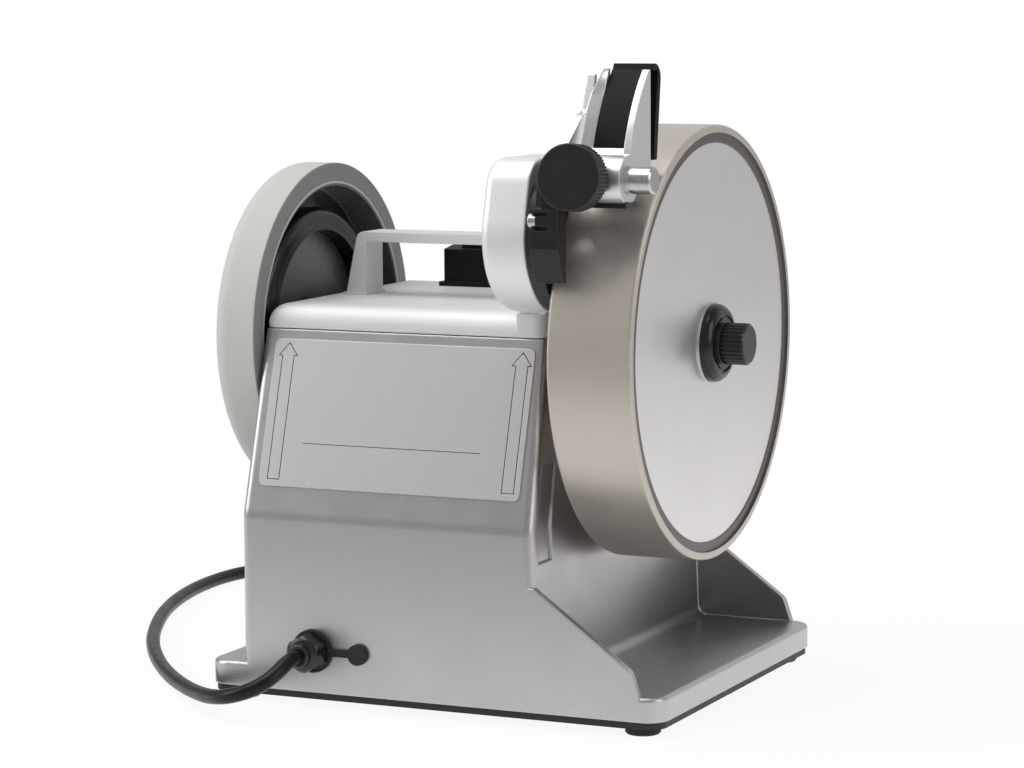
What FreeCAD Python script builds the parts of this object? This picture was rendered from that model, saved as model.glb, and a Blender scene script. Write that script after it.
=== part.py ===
import FreeCAD, Part
import math
import os

# Wet grinding sharpener: a grinding wheel and a honing wheel on one slow spindle,
# driven by a motor inside a cast housing, with a blade guide on a pivoting arm.
# Frame: +X along the spindle to the grinding wheel, +Y to the back, +Z up.
# Sizes are laid out from the centre of the base, on the surface that the feet stand on.
# Saved pieces are shifted so that the origin is under the middle of the whole object.
# The lead does not count in that middle. Millimetres.

V = FreeCAD.Vector

# Base and bottom
left_ledge = 19.0
body_width = 150.0
tray_width = 59.0
base_depth = 196.0
base_corner_r = 10.0
rim_height = 11.2
rim_edge_r = 2.0
tray_floor_t = 4.0
plate_t = 3.3
plate_inset = 1.0
foot_height = 3.7
foot_r = 8.0
foot_stem_r = 3.0
foot_stem_length = 9.0
foot_inset_x = 13.0
foot_inset_y = 11.5
foot_edge = 0.8
plate_screw_inset_x = 10.0
plate_screw_spread = 100.0

# Housing
wall = 3.0
left_draft = 0.4
right_draft = 6.0
front_wall_height = 69.8
lean_height = 83.4
front_lean = 24.8
back_lean = 28.5
bend_r = 14.0
body_edge_r = 4.0
gusset_t = 3.5
gusset_height = 44.8
gusset_toe = 10.5
gusset_knee_in = 3.7
gusset_knee_height = 11.1
gusset_knee_r = 6.0
gusset_root = 12.0
cove_r = 5.0
pocket_depth = 1.0
pocket_width = 15.0
pocket_edge = 2.5
pocket_below = 15.0
pocket_above = 28.0

# Top cover, handle and switch
cover_height = 10.8
cover_round = 9.0
cover_corner_r = 6.0
cover_wall = 3.0
cover_seam = 0.5
cover_lip = 6.0
fit_gap = 0.3
handle_left_gap = 14.0
handle_right_gap = 36.0
handle_front = -17.5
handle_depth = 18.0
handle_height = 30.2
handle_bar_t = 4.8
handle_pit_r = 1.5
handle_leg_foot = 10.5
handle_leg_top = 4.0
handle_foot_rim = 1.0
handle_foot_t = 1.2
switch_left_gap = 38.0
switch_width = 38.0
switch_back_gap = 9.5
switch_depth = 20.0
switch_height = 18.0
switch_rise = 3.0
switch_flange = 2.0
switch_flange_t = 2.2
switch_wall = 2.5
rocker_length = 22.0
rocker_width = 12.0
rocker_r = 17.0
rocker_depth = 9.0
rocker_clear = 1.0
rocker_pin_r = 1.5
rocker_pin_out = 1.5
rocker_pin_play = 0.1
rocker_drop = 2.0
rocker_top = 5.0
rocker_scoop = 2.2
rocker_stem = 4.0
rocker_room = 4.0

# Name plate on the leaning front face
name_t = 0.6
name_corner_r = 3.0
name_left_gap = 7.5
name_right_gap = 7.0
name_low_gap = 13.6
name_top_gap = 4.6
arrow_low_gap = 3.0
arrow_top_gap = 1.5
arrow_width = 10.2
arrow_head = 6.5
arrow_shaft = 6.3
arrow_left_gap = 2.3
arrow_right_gap = 0.8
arrow_depth = 0.25
arrow_line = 0.35

# Spindle and grinding wheel
shaft_y = -2.5
shaft_drop = 6.4
shaft_r = 6.0
shaft_tip = 2.0
shaft_edge = 0.8
run_clear = 0.04
bush_r = 9.0
bush_flange_r = 12.0
bush_flange_t = 2.0
bush_flange_out = 0.5
boss_r = 14.0
boss_length = 12.0
boss_clear = 0.5
right_boss_out = 4.5
wheel_width = 40.0
wheel_r = 100.0
wheel_edge_r = 1.2
wheel_rim_t = 12.0
wheel_hub_r = 30.0
wheel_recess = 24.0
face_disc_r = 91.8
face_disc_t = 1.2
face_recess = 1.4
face_rim_r = 96.3
face_rim_depth = 1.0
flange_r = 22.0
flange_t = 5.65
flange_gap = 0.6
washer_r = 18.5
washer_t = 0.8
nut_flange_r = 18.0
nut_flange_t = 5.3
nut_flange_round = 4.2
nut_groove_r = 13.4
nut_groove_width = 1.6
nut_groove_depth = 1.0
nut_grip_r = 9.6
nut_grip_edge = 1.0
nut_length = 17.6
nut_flutes = 28
nut_flute_r = 0.75
nut_flute_start = 0.5
nut_wall = 3.5
nut_bore_end = 0.4
nut_play = 0.1

# Honing wheel and friction drive
honing_gap = 0.6
honing_width = 23.6
honing_r = 79.4
honing_bore_r = 69.4
honing_round = 9.0
honing_back_round = 0.8
lining_t = 1.0
lining_gap = 0.4
web_t = 6.0
web_inset = 1.6
hub_r = 15.0
tyre_r = 58.0
tyre_bore_r = 50.0
tyre_width = 10.0
tyre_round = 4.0
tyre_seat_t = 3.0
hub_plate_t = 1.6
honing_washer_r = 16.0
honing_washer_t = 2.0
honing_nut_r = 11.0
honing_nut_t = 7.0
roller_r = 4.8
roller_gap = 0.3
roller_end = 1.0
roller_hole_gap = 2.5
roller_bell_gap = 1.0
rotor_edge = 0.6

# Motor
motor_r = 44.0
motor_wall = 3.0
stator_bore_r = 24.5
rotor_gap = 0.5
stator_left_gap = 37.0
stator_length = 46.0
bell_length = 22.0
bell_face_t = 5.0
winding_r = 38.0
winding_length = 14.0
winding_gap = 1.5
winding_bore_gap = 3.0
bearing_r = 11.0
bearing_width = 7.0
tie_bolt_r = 2.0
tie_bolt_ring = 41.0
tie_hole_gap = 0.1
tie_head_r = 3.6
tie_head_t = 2.8
bracket_t = 4.0
bracket_size = 96.0
bracket_hole_r = 18.0
bracket_corner_r = 6.0
bracket_boss_r = 5.0
bracket_screw_ring = 58.0
screw_r = 2.0
screw_head_r = 3.6
screw_head_t = 2.4
screw_slot_width = 1.0
screw_slot_depth = 0.9
screw_grip = 7.0
screw_clear = 0.25
screw_end_gap = 0.5
fan_r = 32.0
fan_width = 10.0
fan_blades = 9
fan_blade_t = 1.6
fan_blade_end = 0.5
fan_back_t = 1.5
fan_hub_r = 9.0
fan_gap = 4.0
capacitor_r = 15.0
capacitor_height = 58.0
capacitor_right_gap = 33.0
capacitor_back_gap = 36.0
capacitor_edge_r = 2.0
tab_spread = 10.0
tab_t = 1.0
tab_width = 6.0
tab_height = 7.0
terminal_size = 40.0
terminal_depth = 17.0
terminal_height = 15.0
terminal_left_gap = 35.0
terminal_front_gap = 36.0
terminal_ways = 4
terminal_screw_r = 2.2
terminal_screw_depth = 5.0
terminal_wire_r = 1.6
terminal_wire_drop = 8.0

# Pivot drum and angle arm
drum_setback = 1.0
drum_rise = 1.2
drum_r = 34.7
drum_shoulder_r = 14.0
drum_shoulder_out = 16.0
drum_width = 22.0
drum_wall = 3.5
drum_face_t = 4.0
drum_round = 4.5
drum_edge_r = 0.8
drum_foot_inset = 2.5
drum_foot_depth = 20.0
drum_foot_setback = 0.8
drum_foot_root = 6.0
drum_foot_r = 2.0
drum_screw_grip = 3.0
drum_screw_gap = 0.2
pivot_r = 5.0
pivot_head_r = 8.0
pivot_head_t = 4.0
arm_disc_t = 9.0
arm_plate_t = 6.6
arm_gap = 0.4
arm_wheel_gap = 1.0
arm_plate_r = 34.4
ear_r = 9.0
ear_inset = 3.4
ear_length = 11.1
arm_block_inset = 4.2
arm_block_width = 13.4
arm_block_out = 18.5
arm_block_t = 8.5
arm_block_top_drop = 12.4
arm_slant_drop = 29.5
arm_block_drop = 44.7
arm_slant_in = 5.0
arm_bar_drop = 17.5
arm_bar_height = 4.2
arm_groove_t = 2.0
arm_groove_depth = 3.5
arm_groove_end = 5.0
index_pin_r = 3.2
index_pin_out = 1.4
index_pin_proud = 0.2
index_pin_edge = 0.6
index_tail_r = 1.7
index_pin_seat = 6.0
index_notch = 2.4
index_notch_gap = 0.4

# Guide pin, blade guide and knob; heights and depths run from the axis of the guide pin
pin_clear = 20.2
pin_angle = 41.53
pin_r = 6.0
pin_out = 12.2
pin_edge = 0.8
pin_seat_gap = 0.5
pin_groove = 0.4
pin_groove_start = 0.3
pin_groove_end = 1.1
guide_gap = 0.8
guide_width = 31.1
guide_hub_r = 10.8
prong_t = 3.0
prong_gap = 16.2
prong_back = 24.6
prong_tip_rise = 47.0
prong_tip_back = 22.9
prong_bow_rise = 33.6
prong_bow_back = 11.6
prong_foot_rise = 12.9
prong_foot_back = 1.4
prong_tip_r = 0.7
prong_toe_front = 2.2
prong_toe_rise = 2.0
prong_heel_back = 7.6
prong_heel_drop = 6.5
prong_back_rise = 5.0
web_top = 13.4
web_depth = 5.0
web_low = 4.3
web_front = 5.4
post_inset = 2.9
post_t = 3.5
post_low_rise = 2.0
post_low_in = 4.0
post_top_in = 2.0
boss_blend = 6.0
band_setback = 4.0
band_t = 3.0
band_top = 49.5
band_round = 6.5
band_tip_drop = 0.5
band_tip_step = 1.5
band_rear_back = 37.2
band_rear_lean = 5.5
band_rear_t = 4.0
band_rear_low = 7.3
rest_t = 2.4
rest_left_gap = 13.7
rest_out = 0.6
rest_front = 4.5
rest_back = 7.5
rest_ledge = 3.0
rest_ledge_rise = 0.5
rest_seat = 0.9
knob_inset = 12.2
knob_tilt = 5.5
knob_r = 14.7
knob_t = 10.4
knob_gap = 0.6
knob_flutes = 60
knob_flute_r = 0.65
knob_crown = 0.8
flute_offset = 0.2
knob_boss_r = 8.0
knob_boss_out = 11.9
knob_screw_r = 3.0
knob_stop_gap = 0.4

# Left cheek of the blade guide, from the tip down: rise, left edge, front at its left and right edges
cheek_rows = [
    (47.3, 10.7, 20.5, 23.5), (36.3, 6.4, 15.5, 17.5), (27.3, 5.7, 10.5, 13.0),
    (14.3, 4.2, 3.5, 7.0), (3.3, 3.2, -2.5, 3.5),
]
cheek_back_left = 7.9
# Post beside the cheek, from its top down: depth, rise
post_rows = [(20.5, 44.8), (14.3, 29.3), (6.8, 27.3), (-10.7, 14.3), (-11.3, 2.0)]

# Lead, gland and plug
cord_r = 3.5
gland_left_gap = 37.0
gland_height = 26.5
gland_nut_af = 15.6
gland_nut_t = 3.0
gland_dome_af = 15.6
gland_dome_t = 9.0
gland_dome_round = 4.0
gland_nose_r = 5.4
gland_nose_t = 3.5
gland_nose_round = 1.0
gland_thread_r = 6.0
gland_thread_length = 14.0
locknut_af = 16.0
locknut_t = 3.5
keeper_spread = 23.5
keeper_head_r = 4.8
keeper_head_t = 2.2
keeper_stem_r = 2.2
keeper_strap_t = 1.6
keeper_strap_h = 3.4
keeper_collar_r = 10.0
keeper_stem_grip = 1.5
keeper_nut_gap = 0.2
coil_from_gland_x = -82.0
coil_from_gland_y = 289.5
coil_outer_r = 46.0
coil_pitch = 7.5
coil_turns = 6
coil_base = 5.3
coil_tail = 42.0
coil_climb = 0.5
bend_share = 0.45
tie_angle = 215.0
tie_width = 14.0
tie_t = 1.3
tie_round = 2.0
plug_length = 37.0
plug_width = 27.0
plug_round = 5.0
plug_nose = 12.0
plug_nose_r = 6.0
plug_nose_wall = 1.0
blade_length = 17.0
blade_t = 1.5
blade_height = 6.4
blade_spread = 12.7
blade_rise = 3.0
earth_r = 2.4
earth_drop = 7.5
earth_extra = 2.0
earth_tip_r = 1.2

# Route of the lead, chosen by hand, from the gland's nose to the coil: x and y from the nose, height
cord_route = [
    (0.0, 0.0, 26.5), (0.0, -7.5, 26.5), (-1.5, -18.5, 21.0), (-8.5, -26.0, 15.6),
    (-21.0, -26.9, 11.6), (-35.0, -18.0, 8.6), (-50.5, -3.5, 6.3), (-68.0, 13.5, 4.8),
    (-90.0, 37.0, 3.8), (-114.5, 67.0, 3.6), (-140.0, 104.5, 3.6), (-161.0, 144.0, 3.6),
    (-176.5, 178.0, 3.6), (-187.0, 208.5, 3.6), (-194.0, 236.5, 3.6), (-197.4, 262.5, 3.6),
    (-197.0, 286.5, 3.6), (-190.0, 308.5, 3.6), (-175.0, 324.5, 3.6), (-153.0, 333.0, 3.9),
    (-128.0, 335.2, 4.8), (-106.0, 335.5, 5.3), (-89.0, 335.5, 5.3),
]

# Values worked out from the sizes above
base_width = left_ledge + body_width + tray_width
half_w = base_width / 2
half_d = base_depth / 2
body_left = -half_w + left_ledge
body_right = half_w - tray_width
plate_z = foot_height
rim_z = plate_z + plate_t
floor_z = rim_z + rim_height
bend_height = floor_z + front_wall_height
seam_height = bend_height + lean_height
seam_rise = seam_height - floor_z
gusset_top = floor_z + gusset_height
gusset_foot_x = half_w - gusset_toe
gusset_knee_x = gusset_foot_x - gusset_knee_in
gusset_knee_z = floor_z + gusset_knee_height
cover_top = seam_height + cover_seam + cover_height
cover_front = -half_d + front_lean
cover_back = half_d - back_lean
handle_left = body_left + handle_left_gap
handle_span = body_width - handle_left_gap - handle_right_gap
switch_left = body_left + switch_left_gap
switch_front = cover_back - switch_back_gap - switch_depth
lean_slant = math.hypot(front_lean, lean_height)
name_low = bend_height + name_low_gap * lean_height / lean_slant
name_height = lean_slant - name_low_gap - name_top_gap
arrow_tip = name_height - arrow_top_gap
arrow_neck = arrow_tip - arrow_head
shaft_height = seam_height - shaft_drop
honing_right = body_left - honing_gap
honing_left = honing_right - honing_width
motor_y = shaft_y
motor_z = shaft_height - (tyre_r + roller_gap + roller_r)
stator_left = body_left + stator_left_gap
capacitor_x = body_right - capacitor_right_gap
capacitor_y = half_d - capacitor_back_gap
terminal_x = body_left + terminal_left_gap
terminal_y = -half_d + terminal_front_gap
gland_x = body_left + gland_left_gap
keeper_x = gland_x + keeper_spread
gland_nose = -half_d - gland_nut_t - gland_dome_t - gland_nose_t
coil_x = gland_x + coil_from_gland_x
coil_y = gland_nose + coil_from_gland_y


def left_wall(z):
    return body_left + left_draft * (z - floor_z) / seam_rise


def right_wall(z):
    return body_right - right_draft * (z - floor_z) / seam_rise


def front_face(z):
    if z <= bend_height:
        return -half_d
    return -half_d + front_lean * (z - bend_height) / lean_height


# Places along the spindle, from the right wall outwards, and places on the pivot drum and guide pin
right_bush_face = right_wall(shaft_height) + right_boss_out
left_face = left_wall(shaft_height)
left_bush_face = left_face + bush_flange_t - bush_flange_out
flange_left = right_bush_face + bush_flange_t + flange_gap
wheel_left = flange_left + flange_t
wheel_right = wheel_left + wheel_width
disc_front = wheel_right - face_recess
arm_plate_right = wheel_left - arm_wheel_gap
arm_left = arm_plate_right - arm_plate_t
drum_right = arm_left - arm_gap
drum_left = drum_right - drum_width
drum_foot_left = drum_left + drum_foot_inset
drum_y = cover_front + drum_setback
drum_height = cover_top + drum_rise + drum_r
pin_y = shaft_y - (wheel_r + pin_clear) * math.cos(math.radians(pin_angle))
pin_height = shaft_height + (wheel_r + pin_clear) * math.sin(math.radians(pin_angle))
ear_left = arm_left + ear_inset
ear_right = arm_left + ear_length
guide_left = ear_right + guide_gap
guide_right = guide_left + guide_width
knob_x = guide_left + knob_inset
arm_block_left = arm_left + arm_block_inset
arm_block_front = pin_y - arm_block_out
arm_bar_z = pin_height - arm_bar_drop


def box(x0, x1, y0, y1, z0, z1):
    return Part.makeBox(x1 - x0, y1 - y0, z1 - z0, V(x0, y0, z0))


def cyl_x(r, x0, x1, y, z):
    return Part.makeCylinder(r, x1 - x0, V(x0, y, z), V(1, 0, 0))


def cyl_y(r, y0, y1, x, z):
    return Part.makeCylinder(r, y1 - y0, V(x, y0, z), V(0, 1, 0))


def cyl_z(r, z0, z1, x, y):
    return Part.makeCylinder(r, z1 - z0, V(x, y, z0), V(0, 0, 1))


def ring_x(r_out, r_in, x0, x1, y, z):
    return cyl_x(r_out, x0, x1, y, z).cut(cyl_x(r_in, x0 - 1, x1 + 1, y, z))


def prism(points, direction):
    face = Part.Face(Part.makePolygon(points + [points[0]]))
    return face.extrude(direction)


def prism_x(yz, x0, x1):
    return prism([V(x0, y, z) for y, z in yz], V(x1 - x0, 0, 0))


def prism_y(xz, y0, y1):
    return prism([V(x, y0, z) for x, z in xz], V(0, y1 - y0, 0))


def edges_where(shape, test):
    return [edge for edge in shape.Edges if test(edge)]


def along(edge, axis):
    size = [edge.BoundBox.XLength, edge.BoundBox.YLength, edge.BoundBox.ZLength]
    others = [value for index, value in enumerate(size) if index != axis]
    return max(others) < 0.01 and size[axis] > 0.01


def slab(x0, x1, y0, y1, z0, z1, corner_r):
    block = box(x0, x1, y0, y1, z0, z1)
    return block.makeFillet(corner_r, edges_where(block, lambda edge: along(edge, 2)))


def hexagon_y(across_flats, y0, y1, x, z):
    r = across_flats / math.sqrt(3)
    corners = [math.radians(30 + 60 * step) for step in range(6)]
    return prism_y([(x + r * math.cos(a), z + r * math.sin(a)) for a in corners], y0, y1)


def hexagon_x(across_flats, x0, x1, y, z):
    r = across_flats / math.sqrt(3)
    corners = [math.radians(30 + 60 * step) for step in range(6)]
    return prism_x([(y + r * math.cos(a), z + r * math.sin(a)) for a in corners], x0, x1)


def ring_places(count, ring_r, first_angle):
    angles = [math.radians(first_angle + 360 * step / count) for step in range(count)]
    return [(ring_r * math.cos(a), ring_r * math.sin(a)) for a in angles]


def middle_x():
    return (shaft_end() + nut_end()) / 2


def knob_front():
    tilt = math.radians(knob_tilt)
    reach = knob_boss_out + knob_gap + knob_t - knob_crown
    return pin_y - reach * math.cos(tilt) - (knob_r - knob_crown) * math.sin(tilt) - knob_crown


def middle_y():
    return (knob_front() + half_d) / 2


def fluted(body, flute, places):
    for place in places:
        cutter = flute.copy()
        cutter.translate(place)
        body = body.cut(cutter)
    return body


def save(name, shapes):
    solids = []
    for shape in shapes:
        solids += shape.Solids
    for solid in solids:
        if not solid.isValid():
            print("not valid:", name)
    result = solids[0] if len(solids) == 1 else Part.makeCompound(solids)
    result.translate(V(-middle_x(), -middle_y(), 0))
    result.exportStep("parts/" + name + ".step")


# Housing: one casting with leaning front and back faces, drafted ends and an open tray

def body_block(shift, low, high):
    slope_front = front_lean / lean_height
    slope_back = back_lean / lean_height
    rise = high - bend_height
    side = prism_x(
        [(-half_d + shift, low), (-half_d + shift, bend_height),
         (-half_d + shift + slope_front * rise, high),
         (half_d - shift - slope_back * rise, high),
         (half_d - shift, bend_height), (half_d - shift, low)],
        -base_width, base_width)
    ends = prism_y(
        [(left_wall(low) + shift, low), (left_wall(high) + shift, high),
         (right_wall(high) - shift, high), (right_wall(low) - shift, low)],
        -base_depth, base_depth)
    return side.common(ends)


def outer_body():
    block = body_block(0.0, rim_z, seam_height)
    bends = edges_where(block, lambda edge: along(edge, 0) and abs(edge.CenterOfMass.z - bend_height) < 0.1)
    block = block.makeFillet(bend_r, bends)
    middle = (body_left + body_right) / 2

    def corner(edge):
        center = edge.CenterOfMass
        on_end = min(abs(center.x - left_wall(center.z)), abs(center.x - right_wall(center.z))) < 0.5
        level = edge.BoundBox.ZLength < 0.05
        return on_end and not level and abs(center.x - middle) > 10
    return block.makeFillet(body_edge_r, edges_where(block, corner))


def gusset(y0, y1):
    root = body_right - gusset_root
    points = [(root, rim_z), (root, gusset_top), (right_wall(gusset_top), gusset_top),
              (gusset_knee_x, gusset_knee_z), (gusset_foot_x, floor_z), (gusset_foot_x, rim_z)]
    plate = prism_y(points, y0, y1)

    def knee(edge):
        center = edge.CenterOfMass
        return along(edge, 1) and abs(center.x - gusset_knee_x) < 0.1 and abs(center.z - gusset_knee_z) < 0.1
    return plate.makeFillet(gusset_knee_r, edges_where(plate, knee))


def tray_cove():
    x = right_wall(floor_z + cove_r) + cove_r
    z = floor_z + cove_r
    end = half_d - gusset_t
    strip = box(body_right - wall, x, -end, end, floor_z - 1, z)
    return strip.cut(cyl_y(cove_r, -half_d, half_d, x, z))


def boss_places():
    return [(side * (half_w - foot_inset_x), end * (half_d - foot_inset_y))
            for side in (-1, 1) for end in (-1, 1)]


def plate_screw_places():
    return [(side * (half_w - plate_screw_inset_x), end * plate_screw_spread / 2)
            for side in (-1, 1) for end in (-1, 1)]


def cover_post_places():
    front = cover_front + cover_lip + screw_head_r
    back = cover_back - cover_lip - screw_head_r
    left = left_wall(seam_height) + wall + screw_head_r + 1
    right = drum_foot_left - screw_head_r - wall - 1
    return [(x, y) for x in (left, right) for y in (front, back)]


def drum_screw_places():
    x = right_wall(seam_height) - wall - screw_head_r - 1
    first = cover_front + wall + screw_head_r + 1
    return [(x, first), (x, first + 2 * screw_head_r + 1)]


def bracket_screw_offsets():
    return ring_places(4, bracket_screw_ring, 45)


def motor_face():
    return stator_left - bell_length


def bracket_face():
    return motor_face() - bracket_t


def make_housing():
    base = slab(-half_w, half_w, -half_d, half_d, rim_z, floor_z, base_corner_r)
    rim = edges_where(base, lambda edge: abs(edge.BoundBox.ZMin - floor_z) < 0.01)
    base = base.makeFillet(rim_edge_r, rim)
    base = base.cut(slab(-half_w + wall, half_w - wall, -half_d + wall, half_d - wall,
                         rim_z - 1, floor_z - tray_floor_t, base_corner_r - wall))
    gussets = [gusset(-half_d, -half_d + gusset_t), gusset(half_d - gusset_t, half_d)]
    shell = base.fuse([outer_body(), tray_cove()] + gussets)
    shell = shell.removeSplitter()
    shell = shell.cut(body_block(wall, rim_z - 1, seam_height + 1))

    ledge = body_block(wall / 2, seam_height - wall, seam_height)
    opening = body_block(cover_lip + 2 * screw_head_r, seam_height - wall - 1, seam_height + 1)
    adds = [ledge.cut(opening)]
    adds += [cyl_z(foot_stem_r + wall, rim_z, floor_z - 1, x, y) for x, y in boss_places()]
    adds += [cyl_z(screw_r + wall, rim_z, floor_z - 1, x, y) for x, y in plate_screw_places()]
    adds.append(on_shaft(boss_r, left_face + 1, left_face + boss_length))
    adds.append(on_shaft(boss_r, right_bush_face - boss_length, right_bush_face))
    for dy, dz in bracket_screw_offsets():
        inner = left_wall(motor_z + dz) + 1
        adds.append(cyl_x(bracket_boss_r, inner, bracket_face(), motor_y + dy, motor_z + dz))
    shell = shell.fuse(adds)

    stem_end = rim_z + foot_stem_length - plate_t + screw_end_gap
    screw_end = rim_z + screw_grip + screw_end_gap
    cuts = [cyl_z(foot_stem_r + fit_gap / 3, rim_z - 1, stem_end, x, y) for x, y in boss_places()]
    cuts += [cyl_z(screw_r, rim_z - 1, screw_end, x, y) for x, y in plate_screw_places()]
    cuts += [cyl_z(screw_r + screw_clear, seam_height - 2 * wall, seam_height + 1, x, y)
             for x, y in cover_post_places() + drum_screw_places()]
    cuts.append(on_shaft(bush_r, -base_width, base_width))
    cuts.append(on_shaft(bush_flange_r + fit_gap, left_face - bush_flange_t, left_bush_face))
    cuts.append(on_motor(roller_r + roller_hole_gap, body_left - wall, body_left + 3 * wall))
    for dy, dz in bracket_screw_offsets():
        depth = bracket_face() - screw_grip + screw_r
        cuts.append(cyl_x(screw_r, depth, bracket_face() + 1, motor_y + dy, motor_z + dz))
    cuts.append(cyl_y(gland_thread_r, -half_d - 1, -half_d + 2 * wall, gland_x, gland_height))
    cuts.append(cyl_y(keeper_stem_r, -half_d - 1, -half_d + 2 * wall, keeper_x, gland_height))
    edge = body_right + 1
    pocket_front = body_edge_r + pocket_edge
    levels = (bend_height - pocket_below, bend_height, bend_height + pocket_above)
    outline = [(front_face(z) + pocket_front, z) for z in levels]
    outline += [(y + pocket_width, z) for y, z in reversed(outline)]
    pocket = prism_x(outline, body_left, edge)
    skin = body_block(pocket_depth, rim_z, seam_height)
    cuts.append(pocket.cut(skin))
    return shell.cut(cuts)


def make_bottom_plate():
    plate = slab(-half_w + plate_inset, half_w - plate_inset, -half_d + plate_inset, half_d - plate_inset,
                 plate_z, rim_z, base_corner_r - plate_inset)
    cuts = [cyl_z(foot_stem_r + fit_gap / 3, plate_z - 1, rim_z + 1, x, y) for x, y in boss_places()]
    cuts += [cyl_z(screw_r + screw_clear, plate_z - 1, rim_z + 1, x, y) for x, y in plate_screw_places()]
    return plate.cut(cuts)


def make_feet():
    feet = []
    for x, y in boss_places():
        pad = cyl_z(foot_r, 0.0, plate_z, x, y)
        pad = pad.makeChamfer(foot_edge, edges_where(pad, lambda edge: edge.BoundBox.ZMax < 0.01))
        feet.append(pad.fuse(cyl_z(foot_stem_r, 0.5, foot_stem_length + plate_z, x, y)).removeSplitter())
    return feet


def screw_up(x, y, seat, grip):
    head = cyl_z(screw_head_r, seat - screw_head_t, seat, x, y)
    half = screw_slot_width / 2
    face = seat - screw_head_t
    slot = box(x - screw_head_r, x + screw_head_r, y - half, y + half, face - 1, face + screw_slot_depth)
    return head.cut(slot).fuse(cyl_z(screw_r, seat - 0.5, seat + grip, x, y)).removeSplitter()


def screw_left(y, z, seat, grip):
    head = cyl_x(screw_head_r, seat, seat + screw_head_t, y, z)
    half = screw_slot_width / 2
    face = seat + screw_head_t
    slot = box(face - screw_slot_depth, face + 1, y - screw_head_r, y + screw_head_r, z - half, z + half)
    return head.cut(slot).fuse(cyl_x(screw_r, seat - grip, seat + 0.5, y, z)).removeSplitter()


# Top cover: a crowned lid with a square-edged pedestal that the drum's foot stands on

def cover_block(inset, low, high):
    return box(left_wall(seam_height) + inset, right_wall(seam_height) - inset,
               cover_front + inset, cover_back - inset, low, high)


def make_cover():
    low = seam_height + cover_seam
    lid = cover_block(0.0, low, cover_top)
    lid = lid.makeFillet(cover_corner_r, edges_where(lid, lambda edge: along(edge, 2)))

    def top_rim(edge):
        return abs(edge.BoundBox.ZMin - cover_top) < 0.01
    lid = lid.makeFillet(cover_round, edges_where(lid, top_rim))
    lid = lid.cut(cover_block(cover_round, low - 1, cover_top - cover_wall))
    post_top = cover_top - cover_wall + 1
    posts = [cyl_z(screw_r + wall, seam_height, post_top, x, y) for x, y in cover_post_places()]
    pedestal = box(drum_foot_left, right_wall(seam_height),
                   cover_front, cover_front + drum_foot_depth, low, cover_top)

    def outer_corner(edge):
        center = edge.CenterOfMass
        return along(edge, 2) and center.x > drum_foot_left + 1 and center.y < cover_front + 1
    pedestal = pedestal.makeFillet(cover_corner_r, edges_where(pedestal, outer_corner))
    lid = lid.fuse(posts + [pedestal]).removeSplitter()
    cuts = [cyl_z(screw_r + screw_clear, seam_height, cover_top + 1, x, y) for x, y in drum_screw_places()]
    left_end = left_face + boss_length + boss_clear
    right_end = right_bush_face - boss_length - boss_clear
    cuts.append(on_shaft(boss_r + boss_clear, -half_w, left_end))
    cuts.append(on_shaft(boss_r + boss_clear, right_end, half_w))
    cuts += [cyl_z(screw_r, seam_height - 1, seam_height + screw_grip, x, y) for x, y in cover_post_places()]
    cuts += [cyl_z(screw_r + screw_clear, seam_height, cover_top + 1, x, y) for x, y in handle_screw_places()]
    cuts.append(box(switch_left + switch_wall, switch_left + switch_width - switch_wall,
                    switch_front + switch_wall, switch_front + switch_depth - switch_wall,
                    cover_top - 2 * cover_wall, cover_top + 1))
    return lid.cut(cuts)


def handle_screw_places():
    y = handle_front + handle_depth / 2
    return [(handle_left + handle_leg_foot / 2, y), (handle_left + handle_span - handle_leg_foot / 2, y)]


def make_handle():
    right = handle_left + handle_span
    top = cover_top + handle_height
    inner_left = handle_left + handle_leg_foot
    inner_right = right - handle_leg_foot
    taper = handle_leg_foot - handle_leg_top
    back = handle_front + handle_depth
    under = top - handle_bar_t
    outside = [(handle_left, cover_top), (handle_left + taper, top), (right - taper, top), (right, cover_top)]
    inside = [(inner_right, cover_top), (inner_right, under), (inner_left, under), (inner_left, cover_top)]
    bow = prism_y(outside + inside, handle_front, back)

    def shoulder(edge):
        return along(edge, 1) and abs(edge.CenterOfMass.z - top) < 0.01

    def armpit(edge):
        return along(edge, 1) and abs(edge.CenterOfMass.z - under) < 0.01
    bow = bow.makeFillet(handle_leg_top, edges_where(bow, shoulder))
    bow = bow.makeFillet(handle_pit_r, edges_where(bow, armpit))
    rims = []
    for low, high in ((handle_left, inner_left), (inner_right, right)):
        rims.append(box(low - handle_foot_rim, high + handle_foot_rim, handle_front - handle_foot_rim,
                        back + handle_foot_rim, cover_top, cover_top + handle_foot_t))
    bow = bow.fuse(rims).removeSplitter()
    holes = [cyl_z(screw_r, cover_top - 1, cover_top + screw_grip, x, y) for x, y in handle_screw_places()]
    return bow.cut(holes)


# Mains switch: a box on the cover with a rocker in its sloping top

def switch_top(y):
    return cover_top + switch_height + switch_rise * (y - switch_front) / switch_depth


def rocker_center():
    y = switch_front + switch_depth / 2
    return switch_left + switch_width / 2, y, switch_top(y) - rocker_drop


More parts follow.
